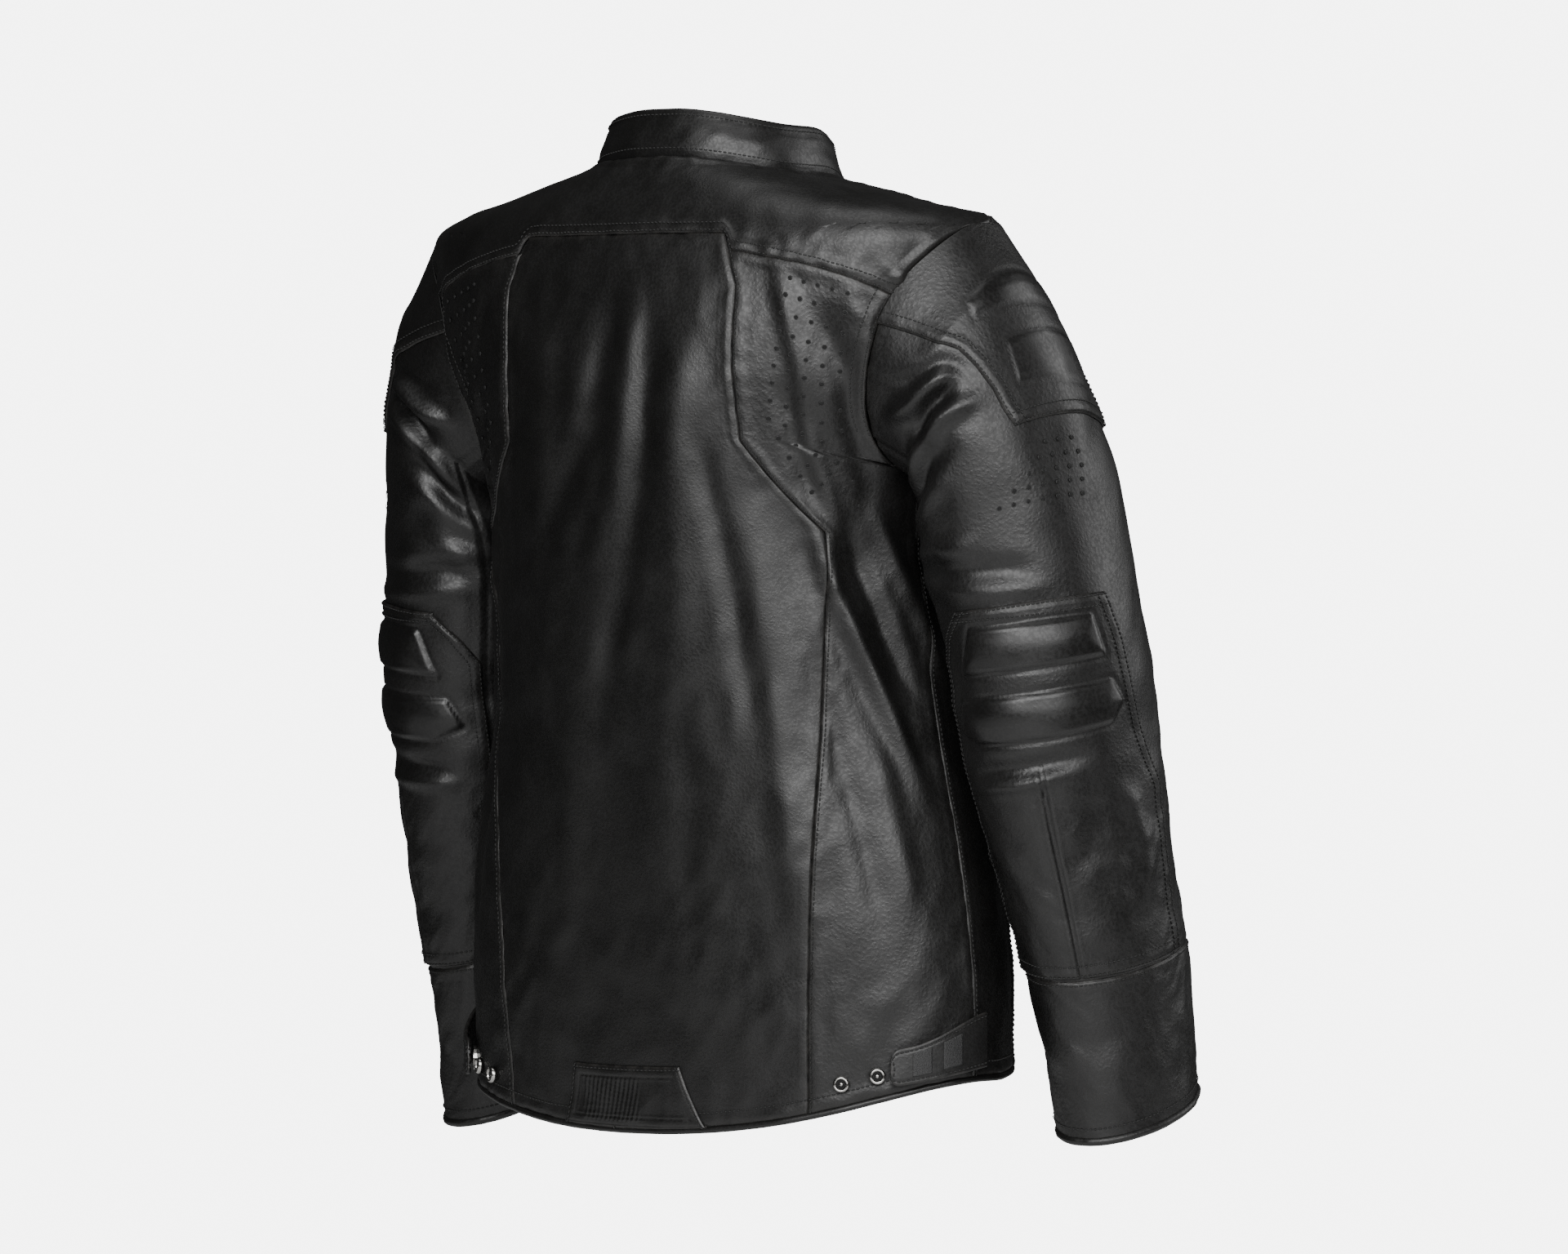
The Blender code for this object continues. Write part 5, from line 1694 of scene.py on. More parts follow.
@dataclass
class Snaps:
    """The hem snaps: ring studs on the leather; the sockets under the tabs are not made here."""

    bench: Bench
    pieces: list[Piece] = field(default_factory=list)
    wells: list[Piece] = field(default_factory=list)

    def build(self) -> None:
        """Turns a ring snap in the place of each CAD hem stud."""
        mounts = {m["name"]: m for m in frame["record"]["mounts"]}
        for side in Side:
            for number in (1, 2):
                mount = mounts[f"hem_snap_{side.tag}_{number}"]
                facing = np.array(mount["axis"])
                foot = np.array(mount["pos_m"]) - facing * 0.0010
                self._ring(
                    f"hem_snap_{side.tag}_{number}", f"hem_stud_{side.tag}_{number}", foot, facing, 0.0061,
                    0.0028
                )

    def _ring(self, name: str, node: str, foot: Array, facing: Array, radius: float, tall: float) -> None:
        """One ring snap that stands for a CAD node."""
        made = self.bench.shop.lathe(name, ring_profile(radius, tall), foot, facing)
        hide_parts(node)
        # A near-black ring laid over the dish inside the snap's ring: painted shade for the recess.
        inner, outer, floor = radius * 0.22, radius * 0.60, 0.0013
        section = [(inner, floor), (outer, floor), (outer, 0.0009), (inner, 0.0009), (inner, floor)]
        self.wells.append(self.bench.shop.lathe(f"{name}_well", section, foot, facing, 24))
        self.pieces.append(made)

    def dress(self) -> None:
        """Polished nickel round a near-black ring in its dish, which is painted shade."""
        for piece in self.pieces:
            self.bench.finishes.dress(piece, Slot.NICKEL)
        for shaded_dish in self.wells:
            self.bench.finishes.dress(shaded_dish, Slot.NICKEL, self.bench.finishes.hole)
        for piece in self.pieces + self.wells:
            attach(piece, "root")


# ---------------------------------------------------------------- hem


@dataclass
class Hem(Assembly):
    """Rolled binding and the ribbed patch at the back."""

    patch_top: float = 0.60

    def build(self) -> None:
        """Makes the binding along the folded hem, and the patch."""
        body = self.bench.body
        reach = float(angle_at_width(np.zeros(1), np.full(1, CLOSURE_EDGE), front=True)[0])
        angles = np.linspace(-reach, reach, 420)
        path = body.skin(np.zeros_like(angles), angles, -LEATHER / 2) + [0, 0, -0.0016]
        binding = self.bench.shop.sweep("hem_roll", path, 0.0024)
        self.keep(binding, Slot.SMOOTH, "root", "hem_binding")
        self._patch()

    def _patch(self) -> None:
        """A trapezium of smooth leather with raised ribs on one half."""

        def where(t: Array, r: Array) -> tuple[Array, Array]:
            """The place and angle for a share across and a share up."""
            low, high = -0.036 - 0.020 * (1 - r), 0.064 + 0.012 * (1 - r)
            place = self.patch_top * r - 0.02
            return place, angle_at_width(place, low + (high - low) * t)

        def ribs_at(place: Array, angle: Array) -> Array:
            """Height of the ribs."""
            x = self.bench.body.point(place, angle)[..., 0]
            down = place / self.patch_top
            ribs = smoothstep(np.sin((x + down * 0.012) * 2 * math.pi / 0.0042), -0.2, 0.4)
            across = smoothstep(x, -0.002, 0.004) * (1 - smoothstep(x, 0.052, 0.058))
            upright = smoothstep(down, 0.14, 0.20) * (1 - smoothstep(down, 0.78, 0.84))
            return 0.0005 * ribs * across * upright

        rows, columns = shares(0.05, 0.0009), shares(0.12, 0.0009)
        style = SeamStyle(dip=0.0014, raised=0.0006, pucker=0.0004, thick=0.0019)
        sheet = lay("hem_patch_skin", self.bench.body, rows, columns, where, style, extra=ribs_at)
        self.keep(self.bench.shop.sheet(sheet), Slot.SMOOTH, "root", "hem_patch")
        self.bench.sew("body", sheet, "start", "end", "high", insets=(0.0030,))


# ---------------------------------------------------------------- zips


@dataclass(frozen=True)
class Run:
    """A straight line that tape and teeth follow, with the ways it faces and spreads."""

    start: Array
    end: Array
    facing: Array
    across: Array

    def raised(self, by: float) -> "Run":
        """The same run, moved the way it faces."""
        return replace(self, start=self.start + self.facing * by, end=self.end + self.facing * by)


@dataclass
class Zips(Assembly):
    """Main zip, pocket zips and cuff zips, with their sliders."""

    def build(self) -> None:
        """Makes the tapes and teeth; the sliders and pull are the CAD's own solids."""
        self._main()
        for side in Side:
            self._small(f"pocket_zip_{side.tag}", "root")
            self._small(f"cuff_zip_{side.tag}", f"forearm_{side.tag}")
        for name in ("zip_slider", "zip_pull"):
            self.keep(rounded(frame["nodes"][name]), Slot.ZIP, "")

    def _teeth(self, name: str, run: Run, gap: float, pitch: float) -> Piece:
        """Two rows of teeth between two points, meshed like a closed zip."""
        count = int(np.linalg.norm(run.end - run.start) / pitch)
        at = (np.arange(count) + 0.5)[:, None] / count
        down = unit(run.end - run.start)
        places, noses = [], []
        for sign, shift in ((1, 0.0), (-1, 0.5)):
            offset = run.across * sign * gap
            places.append(run.start + (run.end - run.start) * at + down * shift * pitch * 0.98 + offset)
            noses.append(np.tile(-sign * run.across, (count, 1)))
        places, noses = np.concatenate(places), np.concatenate(noses)
        spots = places, unit(np.cross(noses, run.facing)), np.tile(run.facing, (len(places), 1))
        repeats, metal = self.bench.repeats, self.bench.finishes.made[Slot.ZIP]
        return repeats.tool.set_out(name, spots, repeats.tooth, metal, 2, 0.0)

    def _ribbon(self, name: str, run: Run, low: float, high: float, thick: float) -> Piece:
        """A woven tape, ribbed along its length."""
        long = np.linalg.norm(run.end - run.start)
        rows, columns = shares(long, 0.003, False), shares(high - low, 0.0007, False)
        width = low + (high - low) * columns
        ribs = 0.00012 * np.sin(width / 0.0011 * math.pi * 2)
        middle = run.start + (run.end - run.start) * rows[:, None, None]
        points = middle + run.across * width[None, :, None] + run.facing * ribs[None, :, None]
        sheet = Sheet(name, points, np.broadcast_to(run.facing, points.shape), np.zeros(points.shape[:2]))
        return self.bench.shop.sheet(sheet, thick)

    def _main(self) -> None:
        """The front zip, in the line of its CAD teeth."""
        low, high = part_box("zip_teeth_left")
        start, end = np.array([0, high.y, high.z]), np.array([0, low.y, low.z])
        start, end = (start, end) if start[2] > end[2] else (end, start)
        start[1], end[1] = -front_depth(start[2]) + 0.0035, -front_depth(end[2]) + 0.0035
        down = unit(end - start)
        facing = unit(np.cross(down, [1.0, 0, 0]))
        facing = facing if facing[1] < 0 else -facing
        across = np.array([1.0, 0, 0])
        run = Run(start, end, facing, across)
        teeth = self._teeth("zip_teeth_row", run, 0.0009, 0.0030)
        self.keep(teeth, Slot.ZIP, "root", "zip_teeth_left", "zip_teeth_right")
        for side in Side:
            beside = replace(run, across=across * side.value).raised(-0.0004)
            tape = self._ribbon(f"zip_tape_skin_{side.tag}", beside, 0.0012, 0.0190, 0.0009)
            self.keep(tape, Slot.TAPE, "root", f"zip_tape_{side.tag}")

    def _small(self, node: str, carrier: str) -> None:
        """A small zip along a CAD strip: its tape, its teeth and its slider."""
        points = np.array([v.co for v in frame["nodes"][node].data.vertices])
        middle = points.mean(0)
        _, _, axes = np.linalg.svd(points - middle, full_matrices=False)
        reach = np.abs((points - middle) @ axes[0]).max()
        outwards = unit(
            middle * (1, 1, 0) - np.array([0 if carrier == "root" else np.sign(middle[0]) * 0.28, -0.05, 0])
        )
        facing = axes[2] if axes[2] @ outwards > 0 else -axes[2]
        start, end = middle + axes[0] * reach, middle - axes[0] * reach
        run = Run(start, end, facing, unit(np.cross(axes[0], facing)))
        tape = self._ribbon(f"{node}_tape", run.raised(0.0005), -0.006, 0.006, 0.0012)
        self.keep(tape, Slot.TAPE, carrier, node)
        self.keep(self._teeth(f"{node}_teeth", run.raised(0.0009), 0.0008, 0.0026), Slot.ZIP, carrier)
        self.keep(rounded(frame["nodes"][f"{node}_slider"]), Slot.ZIP, "")


def rounded(piece: Piece, width: float = 0.0005) -> Piece:
    """A CAD solid with its edges rounded."""
    modifier = piece.modifiers.new("rounded", "BEVEL")
    modifier.width = width
    modifier.segments = 3
    return piece


# ---------------------------------------------------------------- lining and armour


@dataclass
class Inside(Assembly):
    """Body lining, back protector and limb armour."""

    def build(self) -> None:
        """Makes the lining and the armour pads under the leather."""
        self._lining()
        self._protector()
        for side in Side:
            self._pad("shoulder_armour", side, (0.9, 2.9), (-42, 62), "root")
            self._pad("elbow_armour", side, (5.5, 7.9), (20, 100), "forearm")

    def _lining(self) -> None:
        """A vest of knitted cloth with open armholes and an open front."""
        body, shop = self.bench.body, self.bench.shop
        rows = np.linspace(0.35, 10.7, 130)
        columns = np.linspace(-1, 1, 300)
        across, down = np.meshgrid(columns, rows)
        far = angle_at_width(down, np.full_like(down, 0.023), front=True)
        points = body.skin(down, far * across, -0.0055)
        keep = (body.armhole_share(points) > 1.25) | (np.abs(points[..., 0]) < 0.12)
        flat = keep.ravel()
        faces = [f[::-1] for f in grid_faces(len(rows), len(columns), False) if flat[list(f)].all()]
        used = np.unique(faces)
        order = np.full(flat.size, -1)
        order[used] = np.arange(len(used))
        faces = [tuple(int(order[k]) for k in f) for f in faces]
        lining = shop.mesh("lining_skin", points.reshape(-1, 3)[used], faces)
        solid = lining.modifiers.new("thickness", "SOLIDIFY")
        solid.thickness = 0.001
        solid.offset = 1
        self.keep(lining, Slot.LINING, "root", "torso_lining")

    def _protector(self) -> None:
        """The back protector: a tapering pad with moulded cells."""

        def where(t: Array, r: Array) -> tuple[Array, Array]:
            """The place and angle for a share across and a share up."""
            width = 0.125 * (1 - 0.35 * np.abs(2 * r - 1) ** 3)
            place = 2.2 + 6.1 * r
            return place, angle_at_width(place, width * t)

        sheet = self._cells(
            "back_protector_pad", self.bench.body, shares(0.42, 0.004), shares(0.25, 0.004) * 2 - 1, where,
            -0.0105
        )
        pad = self.bench.shop.sheet(sheet, 0.0105)
        self.keep(pad, Slot.FOAM, "root", "back_protector")

    @staticmethod
    def _cells(
        name: str, surface: Surface, rows: Array, columns: Array, where: Callable, depth: float
    ) -> Sheet:
        """A pad with a moulded pattern of cells."""

        def grooves(place: Array, angle: Array) -> Array:
            """Depth of the moulding between cells."""
            cell = np.abs(np.sin(place * 9)) * np.abs(np.sin(angle * 22))
            return -0.0012 * (1 - smoothstep(cell, 0.0, 0.35))

        style = SeamStyle(dip=0.002, raised=0.0, pucker=0.0)
        return lay(name, surface, rows, columns, where, style, extra=grooves, depth=depth)

    def _pad(
        self, node: str, side: Side, stations: tuple[float, float], angles: tuple[float, float], body: str
    ) -> None:
        """One armour pad inside a sleeve."""
        low, high = (math.radians(a) for a in angles)

        def where(t: Array, r: Array) -> tuple[Array, Array]:
            """The place and angle for a share across and a share up."""
            return stations[0] + (stations[1] - stations[0]) * r, low + (high - low) * t

        sheet = self._cells(
            f"{node}_pad_{side.tag}", self.bench.arms[side], shares(0.12, 0.003), shares(0.11, 0.003),
            where, -0.0092
        )
        pad = self.bench.shop.sheet(sheet, 0.0072)
        self.keep(pad, Slot.FOAM, body if body == "root" else f"{body}_{side.tag}", f"{node}_{side.tag}")


# ---------------------------------------------------------------- sleeves

SLEEVE_FOLDS = (
    Fold(((0.4, 122), (0.9, 104), (1.3, 84), (1.55, 58)), 0.0062, 0.009, 0.5),
    Fold(((2.4, 138), (1.95, 112), (1.85, 92), (2.0, 70), (2.2, 46)), 0.0058, 0.009, 0.5),
    Fold(((1.4, 120), (1.5, 98), (1.62, 80), (1.8, 62)), -0.0075, 0.009, 0.3),
    Fold(((2.9, 150), (2.5, 120), (2.4, 96), (2.6, 70)), -0.0040, 0.011, 0.3),
    Fold(((3.6, 150), (3.1, 124), (2.9, 100), (3.0, 82)), 0.0034, 0.011, 0.3),
    Fold(((0.3, 100), (0.8, 90), (1.3, 68), (1.9, 50)), -0.0030, 0.007, 0.4),
    Fold(((2.9, 128), (2.3, 116), (1.9, 100), (1.7, 86)), -0.0040, 0.008, 0.4),
    Fold(((5.0, 150), (4.2, 128), (3.6, 112), (3.1, 104)), 0.0030, 0.012, 0.3),
    Fold(((4.2, 142), (4.4, 110), (4.55, 80), (4.6, 40)), -0.0030, 0.008, 0.3),
    Fold(((4.6, 140), (4.75, 108), (4.85, 76), (4.9, 30)), 0.0030, 0.008, 0.4),
    Fold(((3.9, 150), (4.0, 120), (4.15, 96), (4.2, 70)), 0.0026, 0.009, 0.3),
    Fold(((7.35, 122), (7.25, 88), (7.18, 60), (7.1, 24)), -0.0034, 0.009, 0.4),
    Fold(((7.6, 122), (7.5, 96), (7.45, 70), (7.3, 44)), 0.0028, 0.007, 0.3),
    Fold(((7.6, 36), (8.0, 32), (8.3, 38), (8.7, 56)), -0.0018, 0.012, 0.3),
    Fold(((7.5, 20), (8.0, 8), (8.6, 4), (9.2, 10)), 0.0026, 0.012, 0.3),
    Fold(((10.05, 20), (10.3, 60), (10.6, 95)), -0.0008, 0.011, 0.3),
    Fold(((10.1, 100), (10.5, 60), (10.85, 20)), 0.0007, 0.010, 0.3),
    Fold(((5.3, 170), (5.9, 190), (6.2, 215), (6.3, 250)), -0.0060, 0.011, 0.4),
    Fold(((6.3, 165), (6.7, 190), (6.8, 220), (6.7, 255)), -0.0055, 0.010, 0.4),
    Fold(((4.9, 175), (5.3, 205), (5.5, 240), (5.6, 270)), 0.0045, 0.012, 0.3),
)
PANEL_RIGHT = ((5.04, 8), (5.67, 1), (6.47, -4), (7.13, -10), (7.77, -18), (9.68, -18))
PANEL_LEFT = ((5.12, 104), (5.50, 122), (5.87, 134), (7.4, 136), (9.68, 134))
UPPER_BAR = ((5.36, 94), (5.30, 20), (5.86, 15), (6.02, 107))
LOWER_BAR = ((6.35, 112), (6.18, 13), (6.48, 6), (6.74, 16), (6.84, 54), (6.90, 100), (6.74, 121))
CAP_EDGE = ((0.0, 79), (0.98, 67), (1.34, 57), (1.70, 51), (2.11, 46), (2.45, 44), (2.70, 41))
CAP_BARS = (
    ((0.88, 41), (0.82, 26), (0.80, -26), (0.88, -41), (1.22, -40), (1.24, 0), (1.14, 42)),
    ((1.62, 29), (1.60, 0), (1.62, -29), (2.22, -32), (2.26, 0), (2.18, 31)),
)


@dataclass
class Sleeve:
    """One sleeve: skin, cap, elbow panel with padded bars, cuff and binding."""

    bench: Bench
    side: Side
    hole_pitch: float = 8.4  # degrees round the sleeve
    soft: list[tuple[Piece, Bend]] = field(default_factory=list)
    riding: list[Piece] = field(default_factory=list)

    LONG_SEAMS = (137, -120)  # degrees round the sleeve

    @property
    def arm(self) -> Arm:
        """The form this sleeve is laid on."""
        return self.bench.arms[self.side]

    def build(self) -> None:
        """Makes every piece of the sleeve."""
        self._skins()
        self._cap()
        self._elbow_panel()
        self._holes()
        self._binding()

    def _tube(self, name: str, low: float, high: float, edges: Edges) -> Sheet:
        """A length of sleeve from one station to another."""
        run = self.arm.flat(np.array([low, high]), np.zeros(2))
        rows = low + (high - low) * shares(float(run[1, 1] - run[0, 1]), SLEEVE_STEP)
        rows = np.unique(np.concatenate([rows, [low + 0.001, high - 0.001]]))
        columns = np.arange(172) / 172

        def seam(place: Array, angle: Array) -> Array:
            """The two long seams of a sleeve."""
            wide = 0.0
            for middle in self.LONG_SEAMS:
                away = np.abs(
                    (angle - math.radians(middle) + math.pi) % (2 * math.pi) - math.pi
                ) * Arm.ROUND
                wide = wide - 0.0016 * hump(away, 0, 0.0016) + 0.0008 * hump(away, 0.005, 0.004)
            return wide

        return lay(
            name, self.arm, rows, columns, lambda t, r: (r, t * 2 * math.pi), FLAT_SEAM, edges, seam,
            wrap=True
        )

    def _skins(self) -> None:
        """The upper sleeve, the lower sleeve and the cuff."""
        shop, tag = self.bench.shop, self.side.tag
        open_ends = {"start": False, "end": False}
        upper = self._tube(f"upper_sleeve_skin_{tag}", 0.0, SLEEVE_JOIN, Edges(**open_ends, high=False))
        lower = self._tube(
            f"lower_sleeve_skin_{tag}", SLEEVE_JOIN, CUFF_SEAM, Edges(**open_ends, low=False)
        )
        cuff = self._tube(f"cuff_skin_{tag}", CUFF_SEAM, CUFF_END, Edges(**open_ends, high=False))
        upper_skin, lower_skin, cuff_skin = (shop.sheet(piece) for piece in (upper, lower, cuff))
        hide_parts(f"sleeve_head_{tag}", f"upper_sleeve_{tag}")
        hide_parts(f"elbow_gusset_{tag}", f"forearm_sleeve_{tag}")
        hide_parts(f"cuff_{tag}")
        self.soft += [(upper_skin, SHOULDER_BEND), (lower_skin, ELBOW_BEND)]
        self.riding.append(cuff_skin)
        self.bench.sew(f"forearm_{tag}", cuff, "low", insets=(0.0030,))
        self.bench.sew(f"forearm_{tag}", cuff, "high", insets=(0.0110,))

    def _depth_in_bars(
        self, outlines: Sequence[Sequence[tuple[float, float]]]
    ) -> Callable[[Array, Array], Array]:
        """How far inside a padded bar a place is, or less than 0 between them."""
        flat = [
            self.arm.flat(*np.array([(t, math.radians(a)) for t, a in outline]).T) for outline in outlines
        ]

        def depth(place: Array, angle: Array) -> Array:
            """Distance inside the nearest bar."""
            spots = self.arm.flat(place, angle)
            return np.max([inside_distance(spots, outline) for outline in flat], axis=0)

        return depth

    def _bars(self, outlines: Sequence[Sequence[tuple[float, float]]], tall: float,
              pressed: float = 0.0010) -> Callable[[Array, Array], Array]:
        """Padded bars: raised cushions with a pressed line round them."""
        depth = self._depth_in_bars(outlines)

        def lift(place: Array, angle: Array) -> Array:
            """Height of the cushions."""
            inside = depth(place, angle)
            cushion = tall * (
                0.6 * smoothstep(inside, -0.0006, 0.0028) + 0.4 * smoothstep(inside, 0.0, 0.014)
            )
            return cushion - pressed * hump(inside, -0.0014, 0.0014)

        return lift

    def _shine(self, outlines: Sequence[Sequence[tuple[float, float]]]) -> Callable[[Array, Array], Array]:
        """Padded bars are pressed from smooth leather."""
        depth = self._depth_in_bars(outlines)
        return lambda place, angle: smoothstep(depth(place, angle), -0.0004, 0.0010)

    def _cap(self) -> None:
        """The shoulder cap, with two padded bars."""
        stations, degrees = np.array(CAP_EDGE).T

        def where(t: Array, r: Array) -> tuple[Array, Array]:
            """The place and angle for a share across and a share up."""
            place = 2.70 * r
            return place, np.radians(np.interp(place, stations, degrees)) * t

        rows, columns = shares(0.15, PATCH_STEP), shares(0.17, PATCH_STEP) * 2 - 1
        name = f"shoulder_cap_skin_{self.side.tag}"
        bars, shine = self._bars(CAP_BARS, 0.0010, 0.0004), self._shine(CAP_BARS)
        sheet = lay(name, self.arm, rows, columns, where, PATCH_SEAM, Edges(low=False), bars, polish=shine)
        cap = self.bench.shop.sheet(sheet)
        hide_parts(f"shoulder_cap_{self.side.tag}")
        self.soft.append((cap, SHOULDER_BEND))
        self.bench.sew(f"shoulder_{self.side.tag}", sheet, "start", "end", "high", insets=(0.0026, 0.0105))

    def _elbow_panel(self) -> None:
        """The long panel from above the elbow to the cuff, with two padded bars."""
        right, left = np.array(PANEL_RIGHT), np.array(PANEL_LEFT)

        def where(t: Array, r: Array) -> tuple[Array, Array]:
            """The place and angle for a share across and a share up."""
            slant = 5.02 + 0.07 * t
            place = slant + (9.68 - slant) * r
            near = np.interp(place, right[:, 0], right[:, 1])
            far = np.interp(place, left[:, 0], left[:, 1])
            return place, np.radians(near + (far - near) * t)

        rows, columns = shares(0.29, PATCH_STEP * 1.15), shares(0.18, PATCH_STEP * 1.1)
        name = f"elbow_panel_skin_{self.side.tag}"
        seam = (math.radians(62), 7.2)

        def extra(place: Array, angle: Array) -> Array:
            """The bars, and the seam below them."""
            away = np.abs(angle - seam[0]) * Arm.ROUND
            sewn = -0.0030 * hump(away, 0, 0.0016) + 0.0008 * hump(away, 0.0035, 0.003)
            return bars(place, angle) + sewn * smoothstep(place, seam[1] - 0.1, seam[1] + 0.3)

        bars = self._bars((UPPER_BAR, LOWER_BAR), 0.0034)
        shine = self._shine((UPPER_BAR, LOWER_BAR))
        sheet = lay(name, self.arm, rows, columns, where, PATCH_SEAM, Edges(), extra, polish=shine)
        panel = self.bench.shop.sheet(sheet)
        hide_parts(f"elbow_panel_{self.side.tag}")
        self.soft.append((panel, ELBOW_BEND))
        self.bench.sew(
            f"elbow_{self.side.tag}", sheet, "start", "end", "low", "high", insets=(0.0026, 0.0105)
        )

    def _holes(self) -> None:
        """A triangle of punched holes on the upper sleeve."""
        places, angles = [], []
        for row, first in enumerate((60, 50, 40, 32, 26)):
            for degrees in np.arange(first, 6, -self.hole_pitch):
                places.append(3.77 - 0.19 * row)
                angles.append(math.radians(degrees))
        spots = spots_on(self.arm, np.array(places), np.array(angles))
        for piece in punch(self.bench, f"sleeve_holes_{self.side.tag}", spots):
            self.soft.append((piece, SHOULDER_BEND))

    def _binding(self) -> None:
        """The rolled edge of the cuff."""
        turn = np.linspace(0, 2 * math.pi, 160, endpoint=False)
        path = self.arm.skin(np.full_like(turn, CUFF_END - 0.03), turn, -LEATHER / 2)
        self.riding.append(self.bench.shop.sweep(f"cuff_roll_{self.side.tag}", path, 0.0032, closed=True))

    def dress(self) -> None:
        """Finishes; the cuff pieces and their stitches ride the forearm, and the other pieces are made final
        where they are.
        """
        finishes, tag = self.bench.finishes, self.side.tag
        for piece, how in self.soft:
            if not piece.data.materials:
                finishes.dress(piece, Slot.LEATHER)
            bend(piece, how, self.side)
        for piece in self.riding:
            finishes.dress(piece, Slot.LEATHER)
            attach(piece, f"forearm_{tag}")
        for group, how in ((f"shoulder_{tag}", SHOULDER_BEND), (f"elbow_{tag}", ELBOW_BEND)):
            bend(self.bench.stitches(group), how, self.side)
        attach(self.bench.stitches(f"forearm_{tag}"), f"forearm_{tag}")


# ---------------------------------------------------------------- studio


@dataclass(frozen=True)
class Lamp:
    """A soft area light, placed round the jacket."""

    name: str
    azimuth: float
    elevation: float
    distance: float
    size: float
    power: float


@dataclass
class Studio:
    """Pale floor, soft light and the camera."""

    azimuth: float = 217.0
    distance: float = 9.0
    lens: float = 281.0
    aim: tuple[float, float, float] = (0.0, 0.0, -0.343)
    shift: float = 0.026
    floor: float = -0.95
    backdrop: float = 6.0  # world strength that the camera sees
    fill: float = 0.035  # world strength that lights the jacket

    LAMPS = (
        Lamp("key", 204, 20, 2.5, 1.5, 70),
        Lamp("rim", 238, 14, 2.6, 1.4, 44),
        Lamp("front", 318, 18, 2.8, 1.7, 28),
        Lamp("top", 217, 80, 2.0, 1.3, 14),
    )

    @staticmethod
    def way(azimuth: float, elevation: float) -> Array:
        """The direction from the jacket towards an azimuth and elevation."""
        a, e = math.radians(azimuth), math.radians(elevation)
        return np.array([math.sin(a) * math.cos(e), -math.cos(a) * math.cos(e), math.sin(e)])

    def build(self) -> None:
        """Sets up the floor, the lights, the world and the camera."""
        floor = bpy.data.meshes.new("floor")
        corners = [(-1.3, -1.3), (1.3, -1.3), (1.3, 1.3), (-1.3, 1.3)]
        floor.from_pydata([(x, y, self.floor) for x, y in corners], [], [(0, 1, 2, 3)])
        ground = bpy.data.objects.new("floor", floor)
        bpy.context.scene.collection.objects.link(ground)
        paint = Paint("pale_floor")
        paint.feed(Base_Color=grey(0.86), Roughness=0.9)
        floor.materials.append(paint.material)
        for lamp in self.LAMPS:
            self._lamp(lamp)
        self._world()
        self._camera()

    def _lamp(self, lamp: Lamp) -> None:
        """One area light that faces the jacket."""
        light = bpy.data.lights.new(lamp.name, "AREA")
        light.energy, light.size = lamp.power, lamp.size
        self._hold(light, lamp.azimuth, lamp.elevation, lamp.distance)

    def _hold(self, held: bpy.types.ID, azimuth: float, elevation: float, distance: float) -> Piece:
        """Places a light or camera round the jacket, facing it."""
        made = bpy.data.objects.new(held.name, held)
        way = Vector(self.way(azimuth, elevation))
        made.location = Vector(self.aim) + way * distance
        made.rotation_mode = "QUATERNION"
        made.rotation_quaternion = way.to_track_quat("Z", "Y")
        bpy.context.scene.collection.objects.link(made)
        return made

    def _world(self) -> None:
        """White behind the jacket, dimmer where it lights it."""
        world = bpy.data.worlds.new("studio")
        world.use_nodes = True
        tree = world.node_tree
        back = tree.nodes["Background"]
        back.inputs["Color"].default_value = (1, 1, 1, 1)
        path = tree.nodes.new("ShaderNodeLightPath")
        strength = tree.nodes.new("ShaderNodeMapRange")
        strength.inputs[3].default_value = self.fill
        strength.inputs[4].default_value = self.backdrop
        tree.links.new(path.outputs["Is Camera Ray"], strength.inputs[0])
        tree.links.new(strength.outputs[0], back.inputs["Strength"])
        bpy.context.scene.world = world

    def _camera(self) -> None:
        """A long lens level with the middle of the jacket."""
        data = bpy.data.cameras.new("camera")
        data.lens, data.sensor_width = self.lens, 36.0
        data.shift_x = self.shift
        data.clip_end = 60
        bpy.context.scene.camera = self._hold(data, self.azimuth, 0, self.distance)


# ---------------------------------------------------------------- the jacket


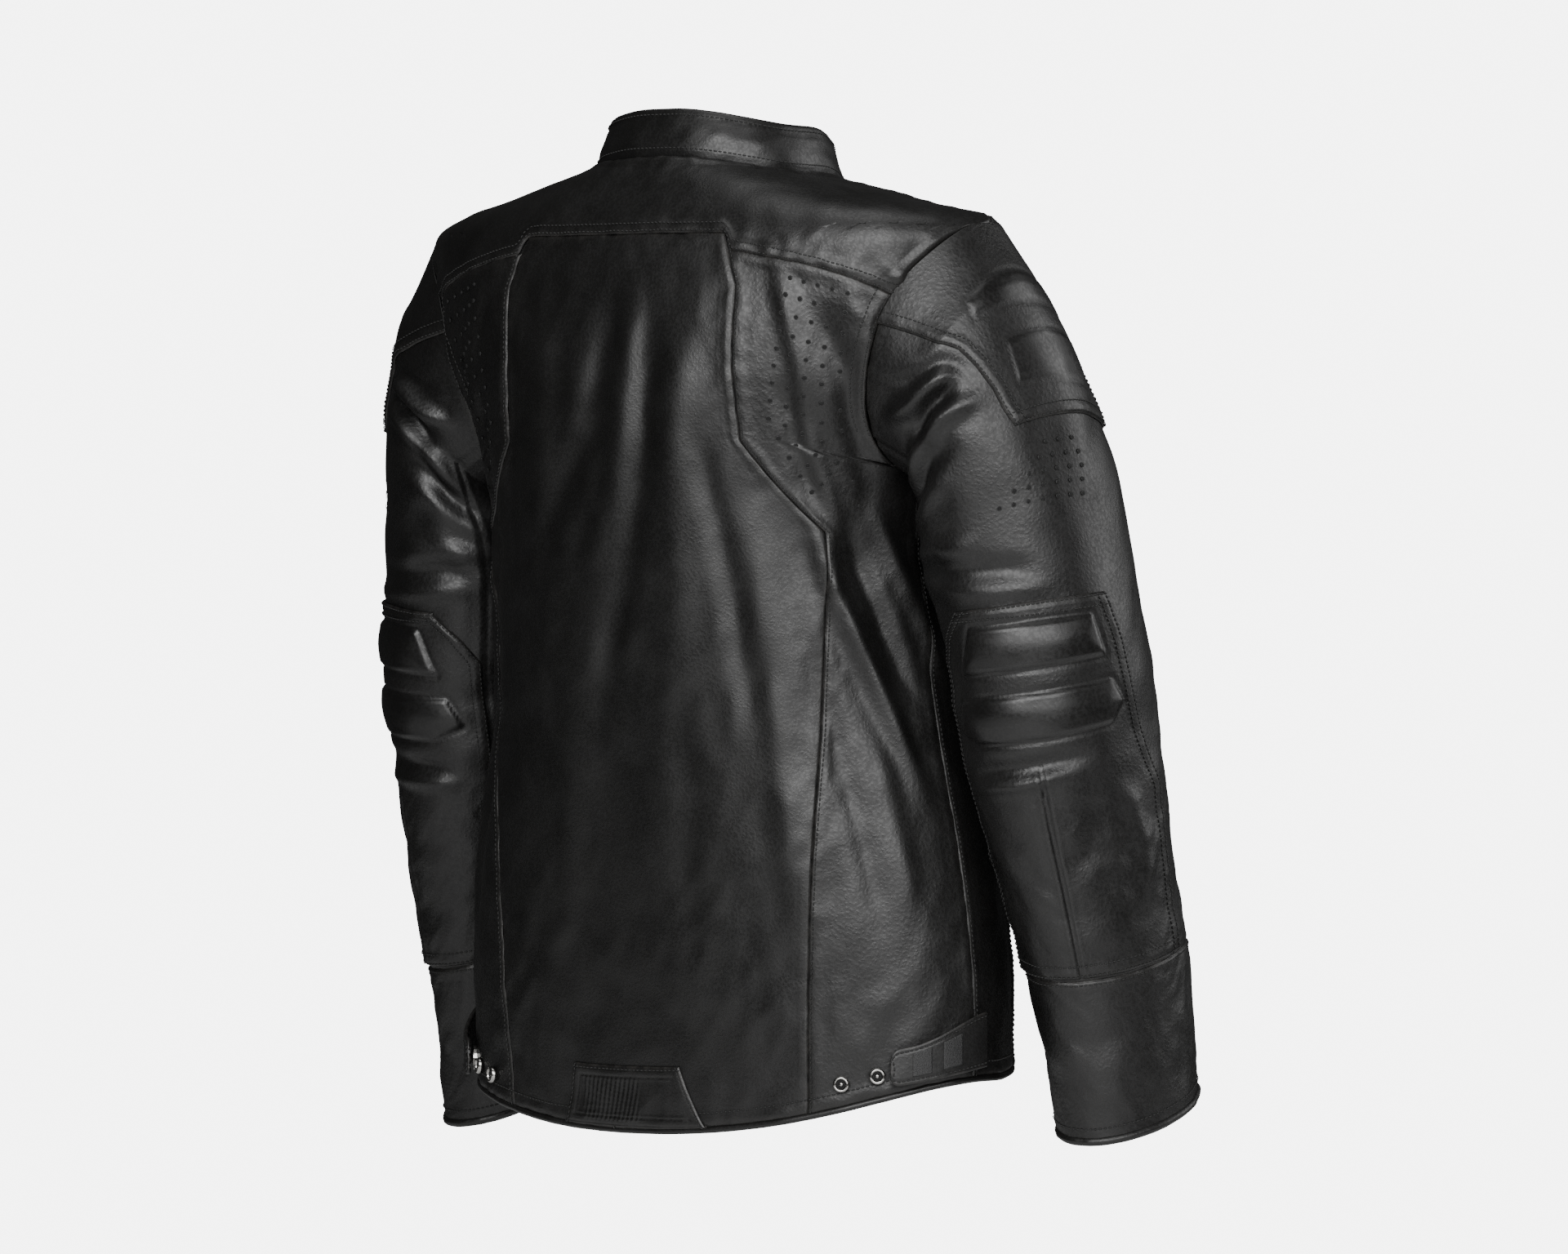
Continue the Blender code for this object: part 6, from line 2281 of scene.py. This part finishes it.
def hem_tab(bench: Bench, side: Side) -> Tab:
    """The adjuster tab beside the back hem, in the place of its CAD node."""
    row = 0.34
    angles = side.value * np.linspace(math.radians(86), float(angle_at_width(row, 0.188)), 30)
    places = np.full_like(angles, row)
    facing = unit(bench.body.normal(places, angles) * (1, 1, 0))
    line = bench.body.point(places, angles) + facing * 0.0086
    line[:, 2] = np.linspace(-0.647, -0.662, len(line))
    return Tab(
        bench, f"hem_tab_{side.tag}", f"hem_tab_{side.tag}", line, facing, 0.0200, 0.0135, 0.006,
        stripes=True
    )


def collar_tab(bench: Bench) -> Tab:
    """The snap tab across the front of the collar, in the place of its CAD node."""
    low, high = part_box("collar_tab")
    x = np.linspace(low.x + 0.0005, high.x - 0.0005, 24)
    bow = (1 - (2 * (x - x.mean()) / (x.max() - x.min())) ** 2) * (high.y - low.y - 0.0035)
    middle = (low.z + high.z) / 2
    line = np.stack([x, high.y - 0.0030 - bow, np.full_like(x, middle)], -1)
    slope = np.gradient(line[:, 1], line[:, 0])
    facing = unit(np.stack([slope, -np.ones_like(slope), np.zeros_like(slope)], -1))
    return Tab(bench, "collar_tab", "collar_tab", line, facing, 0.0125, 0.0125)


def dress_hidden(bench: Bench) -> None:
    """Finishes the CAD solids that are shown as they are: the snaps' hidden halves."""
    for name, node in frame["nodes"].items():
        if node.hide_render or node.data.materials and node.data.materials[0] in bench.finishes.made.values():
            continue
        bench.finishes.dress(rounded(node, 0.0003), Slot.NICKEL)


def main() -> None:
    """Builds the jacket in order."""
    logging.basicConfig(level=logging.INFO, format="%(name)s: %(message)s")
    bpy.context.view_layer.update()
    folds = BACK_FOLDS + SIDE_FOLDS + mirrored(SIDE_FOLDS, 0.8)
    arms = {side: Arm(folds=SLEEVE_FOLDS, side=side, seed=0 if side is Side.RIGHT else 7) for side in Side}
    bench = Bench(Body(folds=folds), arms, Shop(), Repeats(), Wardrobe())
    parts = [
        Back(bench),
        Front(bench),
        Collar(bench),
        Hem(bench),
        Snaps(bench),
        Zips(bench),
        Inside(bench),
        *(Sleeve(bench, side) for side in Side),
        *(hem_tab(bench, side) for side in Side),
        collar_tab(bench),
    ]
    for part in parts:
        part.build()
        part.dress()
        log.info("built %s", type(part).__name__)
    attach(bench.stitches("body"), "root")
    dress_hidden(bench)
    for piece in bench.shop.made:
        log.info("%s: %d faces", piece.name, len(piece.data.polygons))
    Studio().build()


if __name__ == "__main__":
    main()
